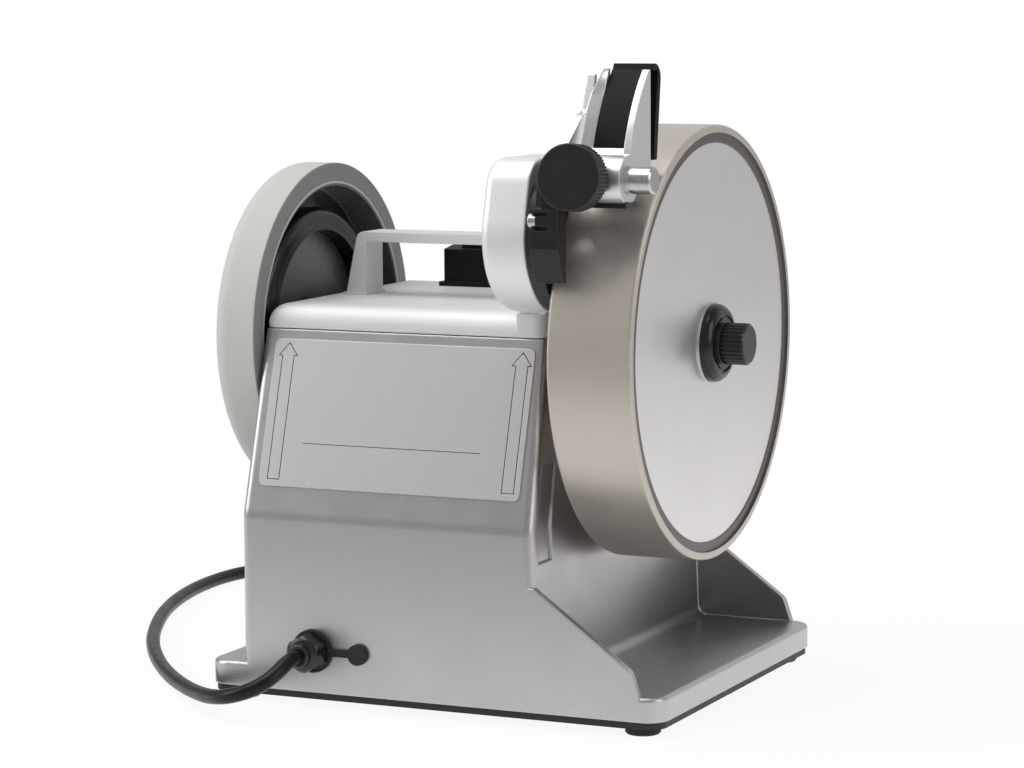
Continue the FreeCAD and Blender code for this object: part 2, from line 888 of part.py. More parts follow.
def make_switch_box():
    right = switch_left + switch_width
    back = switch_front + switch_depth
    shell = prism_x([(switch_front, cover_top), (switch_front, switch_top(switch_front)),
                     (back, switch_top(back)), (back, cover_top)], switch_left, right)
    flange = box(switch_left - switch_flange, right + switch_flange, switch_front - switch_flange,
                 back + switch_flange, cover_top, cover_top + switch_flange_t)
    x, y, z = rocker_center()
    half_l = rocker_length / 2 + rocker_clear
    half_k = rocker_width / 2 + fit_gap
    mouth = box(x - half_l, x + half_l, y - half_k, y + half_k,
                z - rocker_depth - rocker_room, switch_top(back) + 1)
    reach = half_k + rocker_pin_out + rocker_pin_play
    pin_hole = cyl_y(rocker_pin_r + run_clear, y - reach, y + reach, x, z)
    return shell.fuse(flange).removeSplitter().cut([mouth, pin_hole])


def make_rocker():
    x, y, z = rocker_center()
    half_l = rocker_length / 2
    half_k = rocker_width / 2
    top = z + rocker_top
    cap = box(x - half_l, x + half_l, y - half_k, y + half_k, z - rocker_depth / 2, top)
    scoop = cyl_y(rocker_r, y - half_k - 1, y + half_k + 1, x, top + rocker_r - rocker_scoop)
    belly = cyl_y(half_l, y - half_k - 1, y + half_k + 1, x, z)
    cap = cap.common(belly.fuse(box(x - half_l, x + half_l, y - half_k, y + half_k, z, top)))
    half_s = rocker_stem / 2
    stem = box(x - half_s, x + half_s, y - half_k + half_s, y + half_k - half_s, z - rocker_depth, z)
    pin = cyl_y(rocker_pin_r, y - half_k - rocker_pin_out, y + half_k + rocker_pin_out, x, z)
    return cap.cut(scoop).fuse([stem, pin]).removeSplitter()


# Name plate: thin plate laid on the leaning face, with an outline arrow at each end

def make_name_plate():
    lean = math.degrees(math.atan2(front_lean, lean_height))
    right = right_wall(name_low) - name_right_gap
    left = left_wall(name_low) + name_left_gap
    plate = box(left, right, -name_t, 0.0, 0.0, name_height)
    plate = plate.makeFillet(name_corner_r, edges_where(plate, lambda edge: along(edge, 1)))
    shaft, wing = arrow_shaft / 2, arrow_width / 2
    outline = [(-shaft, arrow_low_gap), (-shaft, arrow_neck), (-wing, arrow_neck), (0.0, arrow_tip),
               (wing, arrow_neck), (shaft, arrow_neck), (shaft, arrow_low_gap)]
    for center in (left + arrow_left_gap + wing, right - arrow_right_gap - wing):
        face = Part.Face(Part.makePolygon([V(center + x, -name_t, z) for x, z in outline + outline[:1]]))
        inner = face.makeOffset2D(-arrow_line)
        groove = face.cut(inner).extrude(V(0, arrow_depth, 0))
        plate = plate.cut(groove)
    plate.rotate(V(0, 0, 0), V(1, 0, 0), -lean)
    plate.translate(V(0, front_face(name_low), name_low))
    return plate


# Spindle: shaft in two flanged bushes, grinding wheel on the right, honing wheel on the left

def on_shaft(r, x0, x1):
    return cyl_x(r, x0, x1, shaft_y, shaft_height)


def shaft_ring(r_out, r_in, x0, x1):
    return ring_x(r_out, r_in, x0, x1, shaft_y, shaft_height)


def make_left_bush():
    inner = left_face + boss_length
    sleeve = on_shaft(bush_r, left_bush_face, inner)
    flange = on_shaft(bush_flange_r, left_bush_face - bush_flange_t, left_bush_face)
    return sleeve.fuse(flange).cut(on_shaft(shaft_r + run_clear, -base_width, base_width)).removeSplitter()


def make_right_bush():
    face = right_bush_face
    sleeve = on_shaft(bush_r, face - boss_length, face)
    flange = on_shaft(bush_flange_r, face, face + bush_flange_t)
    return sleeve.fuse(flange).cut(on_shaft(shaft_r + run_clear, -base_width, base_width)).removeSplitter()


def nut_base():
    return disc_front + washer_t


def nut_end():
    return nut_base() + nut_length


def honing_seat():
    return honing_left + web_inset


def shaft_end():
    return honing_seat() - honing_washer_t - honing_nut_t - shaft_tip


def make_shaft():
    left = shaft_end()
    right = nut_end() - nut_wall
    bar = on_shaft(shaft_r, left, right)
    return bar.makeChamfer(shaft_edge, edges_where(bar, lambda edge: edge.BoundBox.XLength < 0.01))


def make_wheel_flange():
    return shaft_ring(flange_r, shaft_r, flange_left, wheel_left)


def make_grinding_wheel():
    wheel = shaft_ring(wheel_r, shaft_r, wheel_left, wheel_right)

    def outer_edge(edge):
        return edge.BoundBox.XLength < 0.01 and edge.BoundBox.ZLength > 2 * wheel_r - 1
    wheel = wheel.makeFillet(wheel_edge_r, edges_where(wheel, outer_edge))
    pocket = on_shaft(face_disc_r, disc_front - face_disc_t, wheel_right + 1)
    step = on_shaft(face_rim_r, wheel_right - face_rim_depth, wheel_right + 1)
    back = shaft_ring(wheel_r - wheel_rim_t, wheel_hub_r, wheel_left - 1, wheel_left + wheel_recess)
    return wheel.cut([pocket, step, back])


def make_face_disc():
    return shaft_ring(face_disc_r, shaft_r + fit_gap, disc_front - face_disc_t, disc_front)


def make_washer():
    return shaft_ring(washer_r, shaft_r, disc_front, nut_base())


def make_wheel_nut():
    start = nut_base() + nut_play
    cap = on_shaft(nut_flange_r, start, start + nut_flange_t)

    def front_rim(edge):
        return edge.BoundBox.XLength < 0.01 and abs(edge.CenterOfMass.x - start - nut_flange_t) < 0.01
    cap = cap.makeFillet(nut_flange_round, edges_where(cap, front_rim))
    groove = shaft_ring(nut_groove_r, nut_groove_r - nut_groove_width,
                        start + nut_flange_t - nut_groove_depth, start + nut_flange_t + 1)
    grip = on_shaft(nut_grip_r, start, nut_end())

    def end_rim(edge):
        return edge.BoundBox.XLength < 0.01 and abs(edge.CenterOfMass.x - nut_end()) < 0.01
    grip = grip.makeChamfer(nut_grip_edge, edges_where(grip, end_rim))
    flute = on_shaft(nut_flute_r, start + nut_flange_t + nut_flute_start, nut_end() + 1)
    flute_ring = nut_grip_r + nut_flute_r * flute_offset
    places = [V(0, dy, dz) for dy, dz in ring_places(nut_flutes, flute_ring, 0)]
    nut = fluted(cap.cut(groove).fuse(grip).removeSplitter(), flute, places)
    return nut.cut(on_shaft(shaft_r + run_clear, start - 1, nut_end() - nut_wall + nut_bore_end))


def make_honing_tread():
    ring = shaft_ring(honing_r, honing_bore_r, honing_left, honing_right)

    def outer_left(edge):
        return (edge.BoundBox.XLength < 0.01 and abs(edge.CenterOfMass.x - honing_left) < 0.01
                and edge.BoundBox.ZLength > 2 * honing_r - 1)

    def outer_right(edge):
        return (edge.BoundBox.XLength < 0.01 and abs(edge.CenterOfMass.x - honing_right) < 0.01
                and edge.BoundBox.ZLength > 2 * honing_r - 1)
    ring = ring.makeFillet(honing_round, edges_where(ring, outer_left))
    return ring.makeFillet(honing_back_round, edges_where(ring, outer_right))


def make_drive_wheel():
    start = honing_seat()
    web = on_shaft(honing_bore_r, start, start + web_t)
    seat = on_shaft(tyre_bore_r, start, start + web_t + tyre_width)
    core = on_shaft(tyre_bore_r - tyre_seat_t, start + web_t, start + web_t + tyre_width + 1)
    hub = on_shaft(hub_r, start, honing_right)
    lining = shaft_ring(honing_bore_r, honing_bore_r - lining_t, start, honing_right - lining_gap)
    wheel = web.fuse([seat.cut(core), hub, lining]).removeSplitter()
    return wheel.cut(on_shaft(shaft_r, -base_width, base_width))


def make_tyre():
    start = honing_seat() + web_t
    ring = on_shaft(tyre_r, start, start + tyre_width)

    def rims(edge):
        return edge.BoundBox.XLength < 0.01
    ring = ring.makeFillet(tyre_round, edges_where(ring, rims))
    return ring.cut(on_shaft(tyre_bore_r, -base_width, base_width))


def make_hub_plate():
    start = honing_seat() + web_t
    return shaft_ring(tyre_bore_r - tyre_seat_t, hub_r, start, start + hub_plate_t)


def make_honing_washer():
    return shaft_ring(honing_washer_r, shaft_r, honing_seat() - honing_washer_t, honing_seat())


def make_honing_nut():
    end = honing_seat() - honing_washer_t
    nut = hexagon_x(honing_nut_r * math.sqrt(3), end - honing_nut_t, end, shaft_y, shaft_height)
    return nut.cut(on_shaft(shaft_r, -base_width, base_width))


# Motor: stator between two bells on a bracket, its shaft end is the friction roller

def on_motor(r, x0, x1):
    return cyl_x(r, x0, x1, motor_y, motor_z)


def motor_ring(r_out, r_in, x0, x1):
    return ring_x(r_out, r_in, x0, x1, motor_y, motor_z)


def tie_holes(r):
    return [cyl_x(r, -base_width, base_width, motor_y + dy, motor_z + dz)
            for dy, dz in ring_places(4, tie_bolt_ring, 0)]


def stator_right():
    return stator_left + stator_length


def make_stator():
    core = motor_ring(motor_r, stator_bore_r, stator_left, stator_right())
    return core.cut(tie_holes(tie_bolt_r + tie_hole_gap))


def make_windings():
    outer_r = winding_r - winding_gap
    inner_r = stator_bore_r + winding_bore_gap
    starts = (stator_left - winding_length, stator_right())
    return [motor_ring(outer_r, inner_r, start, start + winding_length) for start in starts]


def make_bell(mouth, face):
    low, high = min(mouth, face), max(mouth, face)
    inward = 1 if mouth > face else -1
    floor = face + inward * bell_face_t
    cup = on_motor(motor_r, low, high).cut(on_motor(winding_r, min(floor, mouth), max(floor, mouth)))
    seat_end = face + inward * (bell_face_t + bearing_width)
    seat = on_motor(bearing_r + motor_wall, min(face, seat_end), max(face, seat_end))
    pocket = on_motor(bearing_r, min(floor, seat_end), max(floor, seat_end))
    cup = cup.fuse(seat).removeSplitter().cut(pocket)
    shaft_hole = on_motor(roller_r + roller_bell_gap, low - 1, high + 1)
    return cup.cut(tie_holes(tie_bolt_r + tie_hole_gap) + [shaft_hole])


def make_bearings():
    left = motor_face() + bell_face_t
    right = stator_right() + bell_length - bell_face_t - bearing_width
    return [motor_ring(bearing_r, roller_r + run_clear, start, start + bearing_width)
            for start in (left, right)]


def make_tie_bolts():
    bolts = []
    end = stator_right() + bell_length
    for dy, dz in ring_places(4, tie_bolt_ring, 0):
        rod = cyl_x(tie_bolt_r, bracket_face(), end + 0.5, motor_y + dy, motor_z + dz)
        head = hexagon_x(2 * tie_head_r, end, end + tie_head_t, motor_y + dy, motor_z + dz)
        bolts.append(rod.fuse(head).removeSplitter())
    return bolts


def make_bracket():
    half = bracket_size / 2
    plate = box(bracket_face(), motor_face(), motor_y - half, motor_y + half, motor_z - half, motor_z + half)
    plate = plate.makeFillet(bracket_corner_r, edges_where(plate, lambda edge: along(edge, 0)))
    cuts = [on_motor(bracket_hole_r, -base_width, base_width)]
    cuts += tie_holes(tie_bolt_r)
    cuts += [cyl_x(screw_r + screw_clear, -base_width, base_width, motor_y + dy, motor_z + dz)
             for dy, dz in bracket_screw_offsets()]
    return plate.cut(cuts)


def make_rotor_core():
    return motor_ring(stator_bore_r - rotor_gap, roller_r, stator_left, stator_right())


def make_rotor_shaft():
    left = honing_seat() + web_t + roller_end
    right = stator_right() + bell_length + fan_gap + fan_width
    bar = on_motor(roller_r, left, right)
    return bar.makeChamfer(rotor_edge, edges_where(bar, lambda edge: edge.BoundBox.XLength < 0.01))


def make_fan():
    start = stator_right() + bell_length + fan_gap
    fan = on_motor(fan_hub_r, start, start + fan_width)
    back = on_motor(fan_r, start + fan_width - fan_back_t, start + fan_width)
    blade = box(start, start + fan_width - 1, motor_y + fan_hub_r - 1, motor_y + fan_r - fan_blade_end,
                motor_z - fan_blade_t / 2, motor_z + fan_blade_t / 2)
    blades = []
    for step in range(fan_blades):
        turned = blade.copy()
        turned.rotate(V(start, motor_y, motor_z), V(1, 0, 0), 360 * step / fan_blades)
        blades.append(turned)
    fan = fan.fuse([back] + blades).removeSplitter()
    return fan.cut(on_motor(roller_r, start - 1, start + fan_width + 1))


def make_capacitor():
    can = cyl_z(capacitor_r, rim_z, rim_z + capacitor_height, capacitor_x, capacitor_y)
    top = rim_z + capacitor_height
    can = can.makeFillet(capacitor_edge_r, edges_where(can, lambda edge: edge.BoundBox.ZMin > rim_z + 1))
    half = tab_width / 2
    tabs = []
    for side in (-1, 1):
        x = capacitor_x + side * tab_spread / 2
        tabs.append(box(x - tab_t / 2, x + tab_t / 2, capacitor_y - half, capacitor_y + half,
                        top - 1, top + tab_height))
    return can.fuse(tabs).removeSplitter()


def make_terminal_block():
    half_l = terminal_size / 2
    half_k = terminal_depth / 2
    block = box(terminal_x - half_l, terminal_x + half_l, terminal_y - half_k, terminal_y + half_k,
                rim_z, rim_z + terminal_height)
    top = rim_z + terminal_height
    bays = []
    for step in range(terminal_ways):
        x = terminal_x - half_l + terminal_size * (step + 0.5) / terminal_ways
        bays.append(cyl_z(terminal_screw_r, top - terminal_screw_depth, top + 1, x, terminal_y))
        bays.append(cyl_y(terminal_wire_r, terminal_y - half_k - 1, terminal_y + half_k + 1,
                          x, top - terminal_wire_drop))
    return block.cut(bays)


# Pivot drum: a short cup on its side with rounded shoulders, on a foot that stands on the cover

def on_drum(r, x0, x1):
    return cyl_x(r, x0, x1, drum_y, drum_height)


def drum_outline():
    up = drum_r - drum_shoulder_r
    tilt = math.atan2(up, drum_shoulder_out) - math.acos(up / math.hypot(up, drum_shoulder_out))
    nose_y, nose_z = math.cos(tilt), math.sin(tilt)
    bend_y, bend_z = math.cos(tilt / 2 + math.pi / 4), math.sin(tilt / 2 + math.pi / 4)

    def at(y, z):
        return V(drum_left, drum_y + y, drum_height + z)

    def shoulder(side, y, z):
        return at(side * (drum_shoulder_out + drum_shoulder_r * y), up + drum_shoulder_r * z)
    def shoulder_points(side):
        return shoulder(side, nose_y, nose_z), shoulder(side, bend_y, bend_z), shoulder(side, 0, 1)
    right_low = at(drum_r * nose_y, drum_r * nose_z)
    left_low = at(-drum_r * nose_y, drum_r * nose_z)
    left_nose, left_bend, left_top = shoulder_points(-1)
    right_nose, right_bend, right_top = shoulder_points(1)
    runs = [Part.Arc(right_low, at(0, -drum_r), left_low), Part.LineSegment(left_low, left_nose),
            Part.Arc(left_nose, left_bend, left_top), Part.LineSegment(left_top, right_top),
            Part.Arc(right_top, right_bend, right_nose), Part.LineSegment(right_nose, right_low)]
    return Part.Face(Part.Wire([run.toShape() for run in runs]))


def make_drum():
    cup = drum_outline().extrude(V(drum_width, 0, 0))

    def rim_at(x):
        def on_rim(edge):
            return edge.BoundBox.XLength < 0.01 and abs(edge.CenterOfMass.x - x) < 0.01
        return edges_where(cup, on_rim)
    cup = cup.makeFillet(drum_round, rim_at(drum_left))
    cup = cup.makeFillet(drum_edge_r, rim_at(drum_right))
    front = cover_front + drum_foot_setback
    foot = box(drum_foot_left, right_wall(seam_height), front, front + drum_foot_depth,
               cover_top, cover_top + drum_rise + drum_foot_root)
    foot = foot.makeFillet(drum_foot_r, edges_where(foot, lambda edge: along(edge, 2)))
    cup = cup.fuse(foot).removeSplitter()
    cuts = [on_drum(drum_r - drum_wall, drum_left + drum_face_t, half_w), on_drum(pivot_r, 0, half_w)]
    screw_end = cover_top + drum_screw_grip + drum_screw_gap
    cuts += [cyl_z(screw_r, cover_top - 1, screw_end, x, y) for x, y in drum_screw_places()]
    return cup.cut(cuts)


def make_pivot_bolt():
    rod = on_drum(pivot_r, drum_left - 0.5, arm_left)
    head = hexagon_x(pivot_head_r * math.sqrt(3), drum_left - pivot_head_t, drum_left, drum_y, drum_height)
    return rod.fuse(head).removeSplitter()


# Angle arm: disc in the drum, cap over the drum's mouth, ear for the guide pin, block in front

def arm_lobe(y0, z0, r0, y1, z1, r1, x0, x1):
    length = math.hypot(y1 - y0, z1 - z0)
    ny, nz = -(z1 - z0) / length, (y1 - y0) / length
    bridge = prism_x([(y0 + ny * r0, z0 + nz * r0), (y1 + ny * r1, z1 + nz * r1),
                      (y1 - ny * r1, z1 - nz * r1), (y0 - ny * r0, z0 - nz * r0)], x0, x1)
    return [bridge, cyl_x(r1, x0, x1, y1, z1)]


def index_pin_y():
    return arm_block_front + index_pin_r - index_pin_proud


def on_index(r, start, end):
    return cyl_x(r, arm_block_left + start, arm_block_left + end, index_pin_y(), arm_bar_z)


def make_arm():
    disc = on_drum(drum_r - drum_wall - run_clear, drum_right - arm_disc_t, arm_left)
    cap = on_drum(arm_plate_r, arm_left, arm_plate_right)
    lobe = arm_lobe(drum_y, drum_height, arm_plate_r - ear_r, pin_y, pin_height, ear_r,
                    ear_left, arm_plate_right)
    ear = cyl_x(ear_r, ear_left, ear_right, pin_y, pin_height)
    top = pin_height - arm_block_top_drop
    low = pin_height - arm_block_drop
    slant = pin_height - arm_slant_drop
    back = arm_block_front + arm_block_t
    block_right = arm_block_left + arm_block_width
    block = prism_x([(back, low), (back, top), (arm_block_front, top), (arm_block_front, slant),
                     (arm_block_front + arm_slant_in, low)], arm_block_left, block_right)
    column = prism_x([(pin_y - ear_r, pin_height), (back - 1, top), (back - 1, low),
                      (drum_y - arm_plate_r / 2, low), (drum_y, drum_height), (pin_y, pin_height)],
                     ear_left, arm_plate_right)
    arm = disc.fuse([cap] + lobe + [ear, block, column]).removeSplitter()
    cuts = [on_drum(pivot_r + run_clear, 0, arm_left), cyl_x(pin_r, 0, half_w, pin_y, pin_height)]
    for groove_low in (arm_bar_z - arm_bar_height / 2 - arm_groove_t, arm_bar_z + arm_bar_height / 2):
        cuts.append(box(arm_block_left + index_notch, block_right - arm_groove_end, arm_block_front - 1,
                        arm_block_front + arm_groove_depth, groove_low, groove_low + arm_groove_t))
    cuts.append(on_index(index_tail_r, 0, index_pin_seat))
    notch_half = index_pin_r + index_notch_gap
    cuts.append(box(arm_block_left - index_pin_out - 1, arm_block_left + index_notch, arm_block_front - 1,
                    index_pin_y() + notch_half, arm_bar_z - notch_half, arm_bar_z + notch_half))
    return arm.cut(cuts)


def make_index_pin():
    head = on_index(index_pin_r, -index_pin_out, index_notch)

    def outer_rim(edge):
        return edge.BoundBox.XMax < arm_block_left
    head = head.makeFillet(index_pin_edge, edges_where(head, outer_rim))
    return head.fuse(on_index(index_tail_r, 0, index_pin_seat)).removeSplitter()


def on_pin(r, x0, x1):
    return cyl_x(r, x0, x1, pin_y, pin_height)


def make_guide_pin():
    bar = on_pin(pin_r, ear_left + pin_seat_gap, guide_right + pin_out)
    bar = bar.makeChamfer(pin_edge, edges_where(bar, lambda edge: edge.BoundBox.XLength < 0.01))
    groove = ring_x(pin_r + 1, pin_r - pin_groove, guide_right + pin_groove_start,
                    guide_right + pin_groove_end, pin_y, pin_height)
    return bar.cut(groove)


# Blade guide: hub on the pin, prong on the right, folded cheek and post on the left, web between them

def guide_point(x, back, rise):
    return V(x, pin_y + back, pin_height + rise)


def prong_front(x, setback):
    return [guide_point(x, prong_tip_back + setback, prong_tip_rise),
            guide_point(x, prong_bow_back + setback, prong_bow_rise),
            guide_point(x, prong_foot_back + setback, prong_foot_rise)]


def cheek_right():
    return guide_right - prong_t - prong_gap


def make_prong():
    x = guide_right - prong_t
    tip, bow, foot = prong_front(x, 0.0)
    toe = guide_point(x, -prong_toe_front, prong_toe_rise)
    heel = guide_point(x, prong_heel_back, -prong_heel_drop)
    back_low = guide_point(x, prong_back, prong_back_rise)
    back_top = guide_point(x, prong_back, prong_tip_rise)
    edges = [Part.Arc(tip, bow, foot).toShape()]
    corners = [foot, toe, heel, back_low, back_top, tip]
    edges += [Part.LineSegment(a, b).toShape() for a, b in zip(corners, corners[1:])]
    plate = Part.Face(Part.Wire(edges)).extrude(V(prong_t, 0, 0))

    def tip_edge(edge):
        return along(edge, 0) and abs(edge.CenterOfMass.z - back_top.z) < 0.01
    return plate.makeFillet(prong_tip_r, edges_where(plate, tip_edge))


def make_cheek():
    sections = []
    for rise, left, left_front, right_front in cheek_rows:
        back_left = max(cheek_back_left, left)
        places = ((guide_left + left, left_front), (cheek_right(), right_front),
                  (cheek_right(), prong_back), (guide_left + back_left, prong_back))
        corners = [guide_point(x, back, rise) for x, back in places]
        sections.append(Part.makePolygon(corners + corners[:1]))
    return Part.makeLoft(sections, True, True)


def make_post():
    x = guide_left + post_inset
    corners = [guide_point(x, back, rise) for back, rise in post_rows]
    corners.append(guide_point(x, prong_back - post_low_in, post_low_rise))
    corners.append(guide_point(x, prong_back - post_top_in, post_rows[0][1]))
    return prism(corners, V(post_t, 0, 0))


def tilted(shape):
    shape.rotate(V(knob_x, pin_y, pin_height), V(1, 0, 0), -knob_tilt)
    return shape


def on_knob(r, out, inner):
    return tilted(cyl_y(r, pin_y - out, pin_y - inner, knob_x, pin_height))


def make_guide():
    hub = on_pin(guide_hub_r, guide_left, guide_right)
    foot_back = prong_foot_back + band_setback
    web_rows = ((-web_front, web_low), (foot_back - 1, web_top),
                (foot_back + web_depth, web_top), (guide_hub_r, web_low))
    corners = [guide_point(cheek_right() - 1, back, rise) for back, rise in web_rows]
    web = prism(corners, V(prong_gap + 2, 0, 0))
    blend = box(guide_left, knob_x, pin_y - boss_blend, pin_y, pin_height, pin_height + knob_boss_r)
    boss = on_knob(knob_boss_r, knob_boss_out, 0)
    guide = hub.fuse([make_prong(), make_cheek(), make_post(), web, blend, boss]).removeSplitter()
    screw_hole = on_knob(knob_screw_r + run_clear, 2 * guide_hub_r, 0)
    return guide.cut([on_pin(pin_r + run_clear, 0, base_width), screw_hole])


def make_band():
    left = cheek_right() + fit_gap / 3
    right = guide_right - prong_t - fit_gap / 3
    tip, bow, foot = prong_front(left, band_setback)
    tip_in, bow_in, foot_in = prong_front(left, band_setback + band_t)
    drop = V(0, 0, web_top - prong_foot_rise)
    foot, foot_in = foot + drop, foot_in + drop
    edges = [Part.Arc(tip, bow, foot).toShape(), Part.LineSegment(foot, foot_in).toShape(),
             Part.Arc(foot_in, bow_in, tip_in).toShape(), Part.LineSegment(tip_in, tip).toShape()]
    panel = Part.Face(Part.Wire(edges)).extrude(V(right - left, 0, 0))
    rear_top = band_rear_back
    rear_low = band_rear_back - band_rear_lean
    front_top = prong_tip_back + band_setback
    front_low = prong_tip_rise - band_tip_drop
    under = band_top - band_t
    hood_rows = ((front_top, front_low), (front_top + band_tip_step, band_top), (rear_top, band_top),
                 (rear_low, band_rear_low), (rear_low - band_rear_t, band_rear_low),
                 (rear_top - band_rear_t, under), (front_top + band_t, under),
                 (front_top + band_t, front_low))
    hood = prism([guide_point(left, back, rise) for back, rise in hood_rows], V(guide_right - left, 0, 0))

    def crown(edge):
        return (along(edge, 0) and abs(edge.CenterOfMass.z - pin_height - band_top) < 0.01
                and edge.CenterOfMass.y > pin_y + rear_top - 1)
    hood = hood.makeFillet(band_round, edges_where(hood, crown))
    return panel.fuse(hood).removeSplitter()


def make_blade_rest():
    top = pin_height - guide_hub_r * rest_seat
    left, right = guide_left + rest_left_gap, guide_right + rest_out
    plate = box(left, right, pin_y - rest_front, pin_y + rest_back, top - rest_t, top)
    ledge = box(left, right, pin_y - rest_front, pin_y - rest_front + rest_ledge,
                top - rest_t, top + rest_ledge_rise)
    plate = plate.fuse(ledge).removeSplitter()
    return plate.cut([on_pin(guide_hub_r, 0, guide_right), on_pin(pin_r + 1, 0, half_w)])


def make_knob():
    back = knob_boss_out + knob_gap
    front = pin_y - back - knob_t
    disc = cyl_y(knob_r, front, pin_y - back, knob_x, pin_height)

    def front_rim(edge):
        return edge.BoundBox.YLength < 0.01 and abs(edge.CenterOfMass.y - front) < 0.01
    disc = disc.makeFillet(knob_crown, edges_where(disc, front_rim))
    flute = cyl_y(knob_flute_r, front + knob_crown, pin_y - back + 1, knob_x, pin_height)
    flute_ring = knob_r + knob_flute_r * flute_offset
    places = [V(dx, 0, dz) for dx, dz in ring_places(knob_flutes, flute_ring, 0)]
    return tilted(fluted(disc, flute, places))


def make_knob_screw():
    return on_knob(knob_screw_r, knob_boss_out + knob_gap, pin_r + knob_stop_gap)


# Gland, keeper, lead, coil and plug

def on_gland(r, out, into):
    return cyl_y(r, -half_d - out, -half_d + into, gland_x, gland_height)


def front_rounded(body, out, r):
    front = -half_d - out
    return body.makeFillet(r, edges_where(
        body, lambda edge: edge.BoundBox.YLength < 0.01 and abs(edge.CenterOfMass.y - front) < 0.01))


def make_gland():
    nut = hexagon_y(gland_nut_af, -half_d - gland_nut_t, -half_d, gland_x, gland_height)
    dome_out = gland_nut_t + gland_dome_t
    dome = hexagon_y(gland_dome_af, -half_d - dome_out, -half_d - gland_nut_t, gland_x, gland_height)
    crown = front_rounded(on_gland(gland_dome_af / math.sqrt(3), dome_out, 0), dome_out, gland_dome_round)
    dome = dome.common(crown)
    nose_out = dome_out + gland_nose_t
    nose = front_rounded(on_gland(gland_nose_r, nose_out, 0), nose_out, gland_nose_round)
    thread = on_gland(gland_thread_r, 1, gland_thread_length)
    return nut.fuse([dome, nose, thread]).removeSplitter()


def make_locknut():
    start = -half_d + wall
    nut = hexagon_y(locknut_af, start, start + locknut_t, gland_x, gland_height)
    return nut.cut(cyl_y(gland_thread_r, start - 1, start + locknut_t + 1, gland_x, gland_height))


def make_keeper():
    front = -half_d - keeper_strap_t
    half = keeper_strap_h / 2
    strap = box(gland_x, keeper_x, front, -half_d, gland_height - half, gland_height + half)
    collar = cyl_y(keeper_collar_r, front, -half_d, gland_x, gland_height)
    head = cyl_y(keeper_head_r, -half_d - keeper_head_t, -half_d, keeper_x, gland_height)
    stem = cyl_y(keeper_stem_r, -half_d - 0.5, -half_d + wall + keeper_stem_grip, keeper_x, gland_height)
    keeper = strap.fuse([collar, head, stem]).removeSplitter()
    opening = gland_nut_af + 2 * keeper_nut_gap
    return keeper.cut(hexagon_y(opening, front - 1, -half_d + 1, gland_x, gland_height))


def tube_path(points):
    corners = [V(*point) for point in points]
    edges = []
    radii = []
    start = corners[0]
    for before, corner, after in zip(corners, corners[1:], corners[2:]):
        back = (before - corner).normalize()
        ahead = (after - corner).normalize()
        turn = math.pi - back.getAngle(ahead)
        reach = bend_share * min((before - corner).Length, (after - corner).Length)
        radius = reach / math.tan(turn / 2)
        radii.append(radius)
        enter = corner + back * reach
        leave = corner + ahead * reach
        inward = (back + ahead).normalize()
        middle = corner + inward * (radius / math.cos(turn / 2) - radius)
        edges.append(Part.LineSegment(start, enter).toShape())
        edges.append(Part.Arc(enter, middle, leave).toShape())
        start = leave
    edges.append(Part.LineSegment(start, corners[-1]).toShape())
    return Part.Wire(edges), radii


def sweep(path, r):
    start = path.Edges[0].valueAt(path.Edges[0].FirstParameter)
    direction = path.Edges[0].tangentAt(path.Edges[0].FirstParameter)
    profile = Part.Wire([Part.makeCircle(r, start, direction)])
    return path.makePipeShell([profile], True, False)


def make_cord():
    path, radii = tube_path([(gland_x + x, gland_nose + y, z) for x, y, z in cord_route])
    tube = sweep(path, cord_r)
    print("lead bend radii", [round(radius, 1) for radius in radii])
    print("lead length", round(path.Length, 1), "volume ratio",
          round(tube.Volume / (math.pi * cord_r ** 2 * path.Length), 4))
    return tube


def coil_point(turns):
    middle = coil_turns / 2
    r = coil_outer_r - coil_pitch * (middle - abs(turns - middle))
    climb = min(max((turns - middle) / coil_climb + 0.5, 0.0), 1.0)
    angle = math.radians(90 - 360 * turns)
    return V(coil_x + r * math.cos(angle), coil_y + r * math.sin(angle), coil_base + coil_pitch * climb)


def coil_heading(turns):
    step = 0.02
    if turns < step or turns > coil_turns - step:
        return V(1, 0, 0)
    return (coil_point(turns + step) - coil_point(turns - step)).normalize()


def arc_from(start, heading, end):
    chord = end - start
    along_chord = V(chord).normalize()
    angle = heading.getAngle(along_chord)
    outward = (heading - along_chord * heading.dot(along_chord)).normalize()
    middle = start + chord * 0.5 + outward * (chord.Length / 2 * math.tan(angle / 2))
    return Part.Arc(start, middle, end).toShape()


def biarc(start, heading, end, end_heading):
    chord = end - start
    total = heading + end_heading
    a = 2 * (heading.dot(end_heading) - 1)
    b = -2 * chord.dot(total)
    c = chord.dot(chord)
    reach = (-b - math.sqrt(b * b - 4 * a * c)) / (2 * a)
    joint = (start + heading * reach + end - end_heading * reach) * 0.5
    first = arc_from(start, heading, joint)
    second_heading = first.tangentAt(first.LastParameter)
    return [first, arc_from(joint, second_heading, end)]


def coil_path():
    quarters = coil_turns * 4
    edges = []
    first = coil_point(0.0)
    edges.append(Part.LineSegment(first - V(2 * cord_r, 0, 0), first).toShape())
    for step in range(quarters):
        now, later = step / 4, (step + 1) / 4
        edges += biarc(coil_point(now), coil_heading(now), coil_point(later), coil_heading(later))
    last = coil_point(float(coil_turns))
    edges.append(Part.LineSegment(last, last + V(coil_tail, 0, 0)).toShape())
    return Part.Wire(edges)


def least_gap(path):
    samples = path.discretize(Number=900)
    spacing = path.Length / (len(samples) - 1)
    skip = int(6 * cord_r / spacing)
    least = coil_outer_r
    for index, point in enumerate(samples):
        for other in samples[index + skip:]:
            least = min(least, (point - other).Length)
    return least - 2 * cord_r


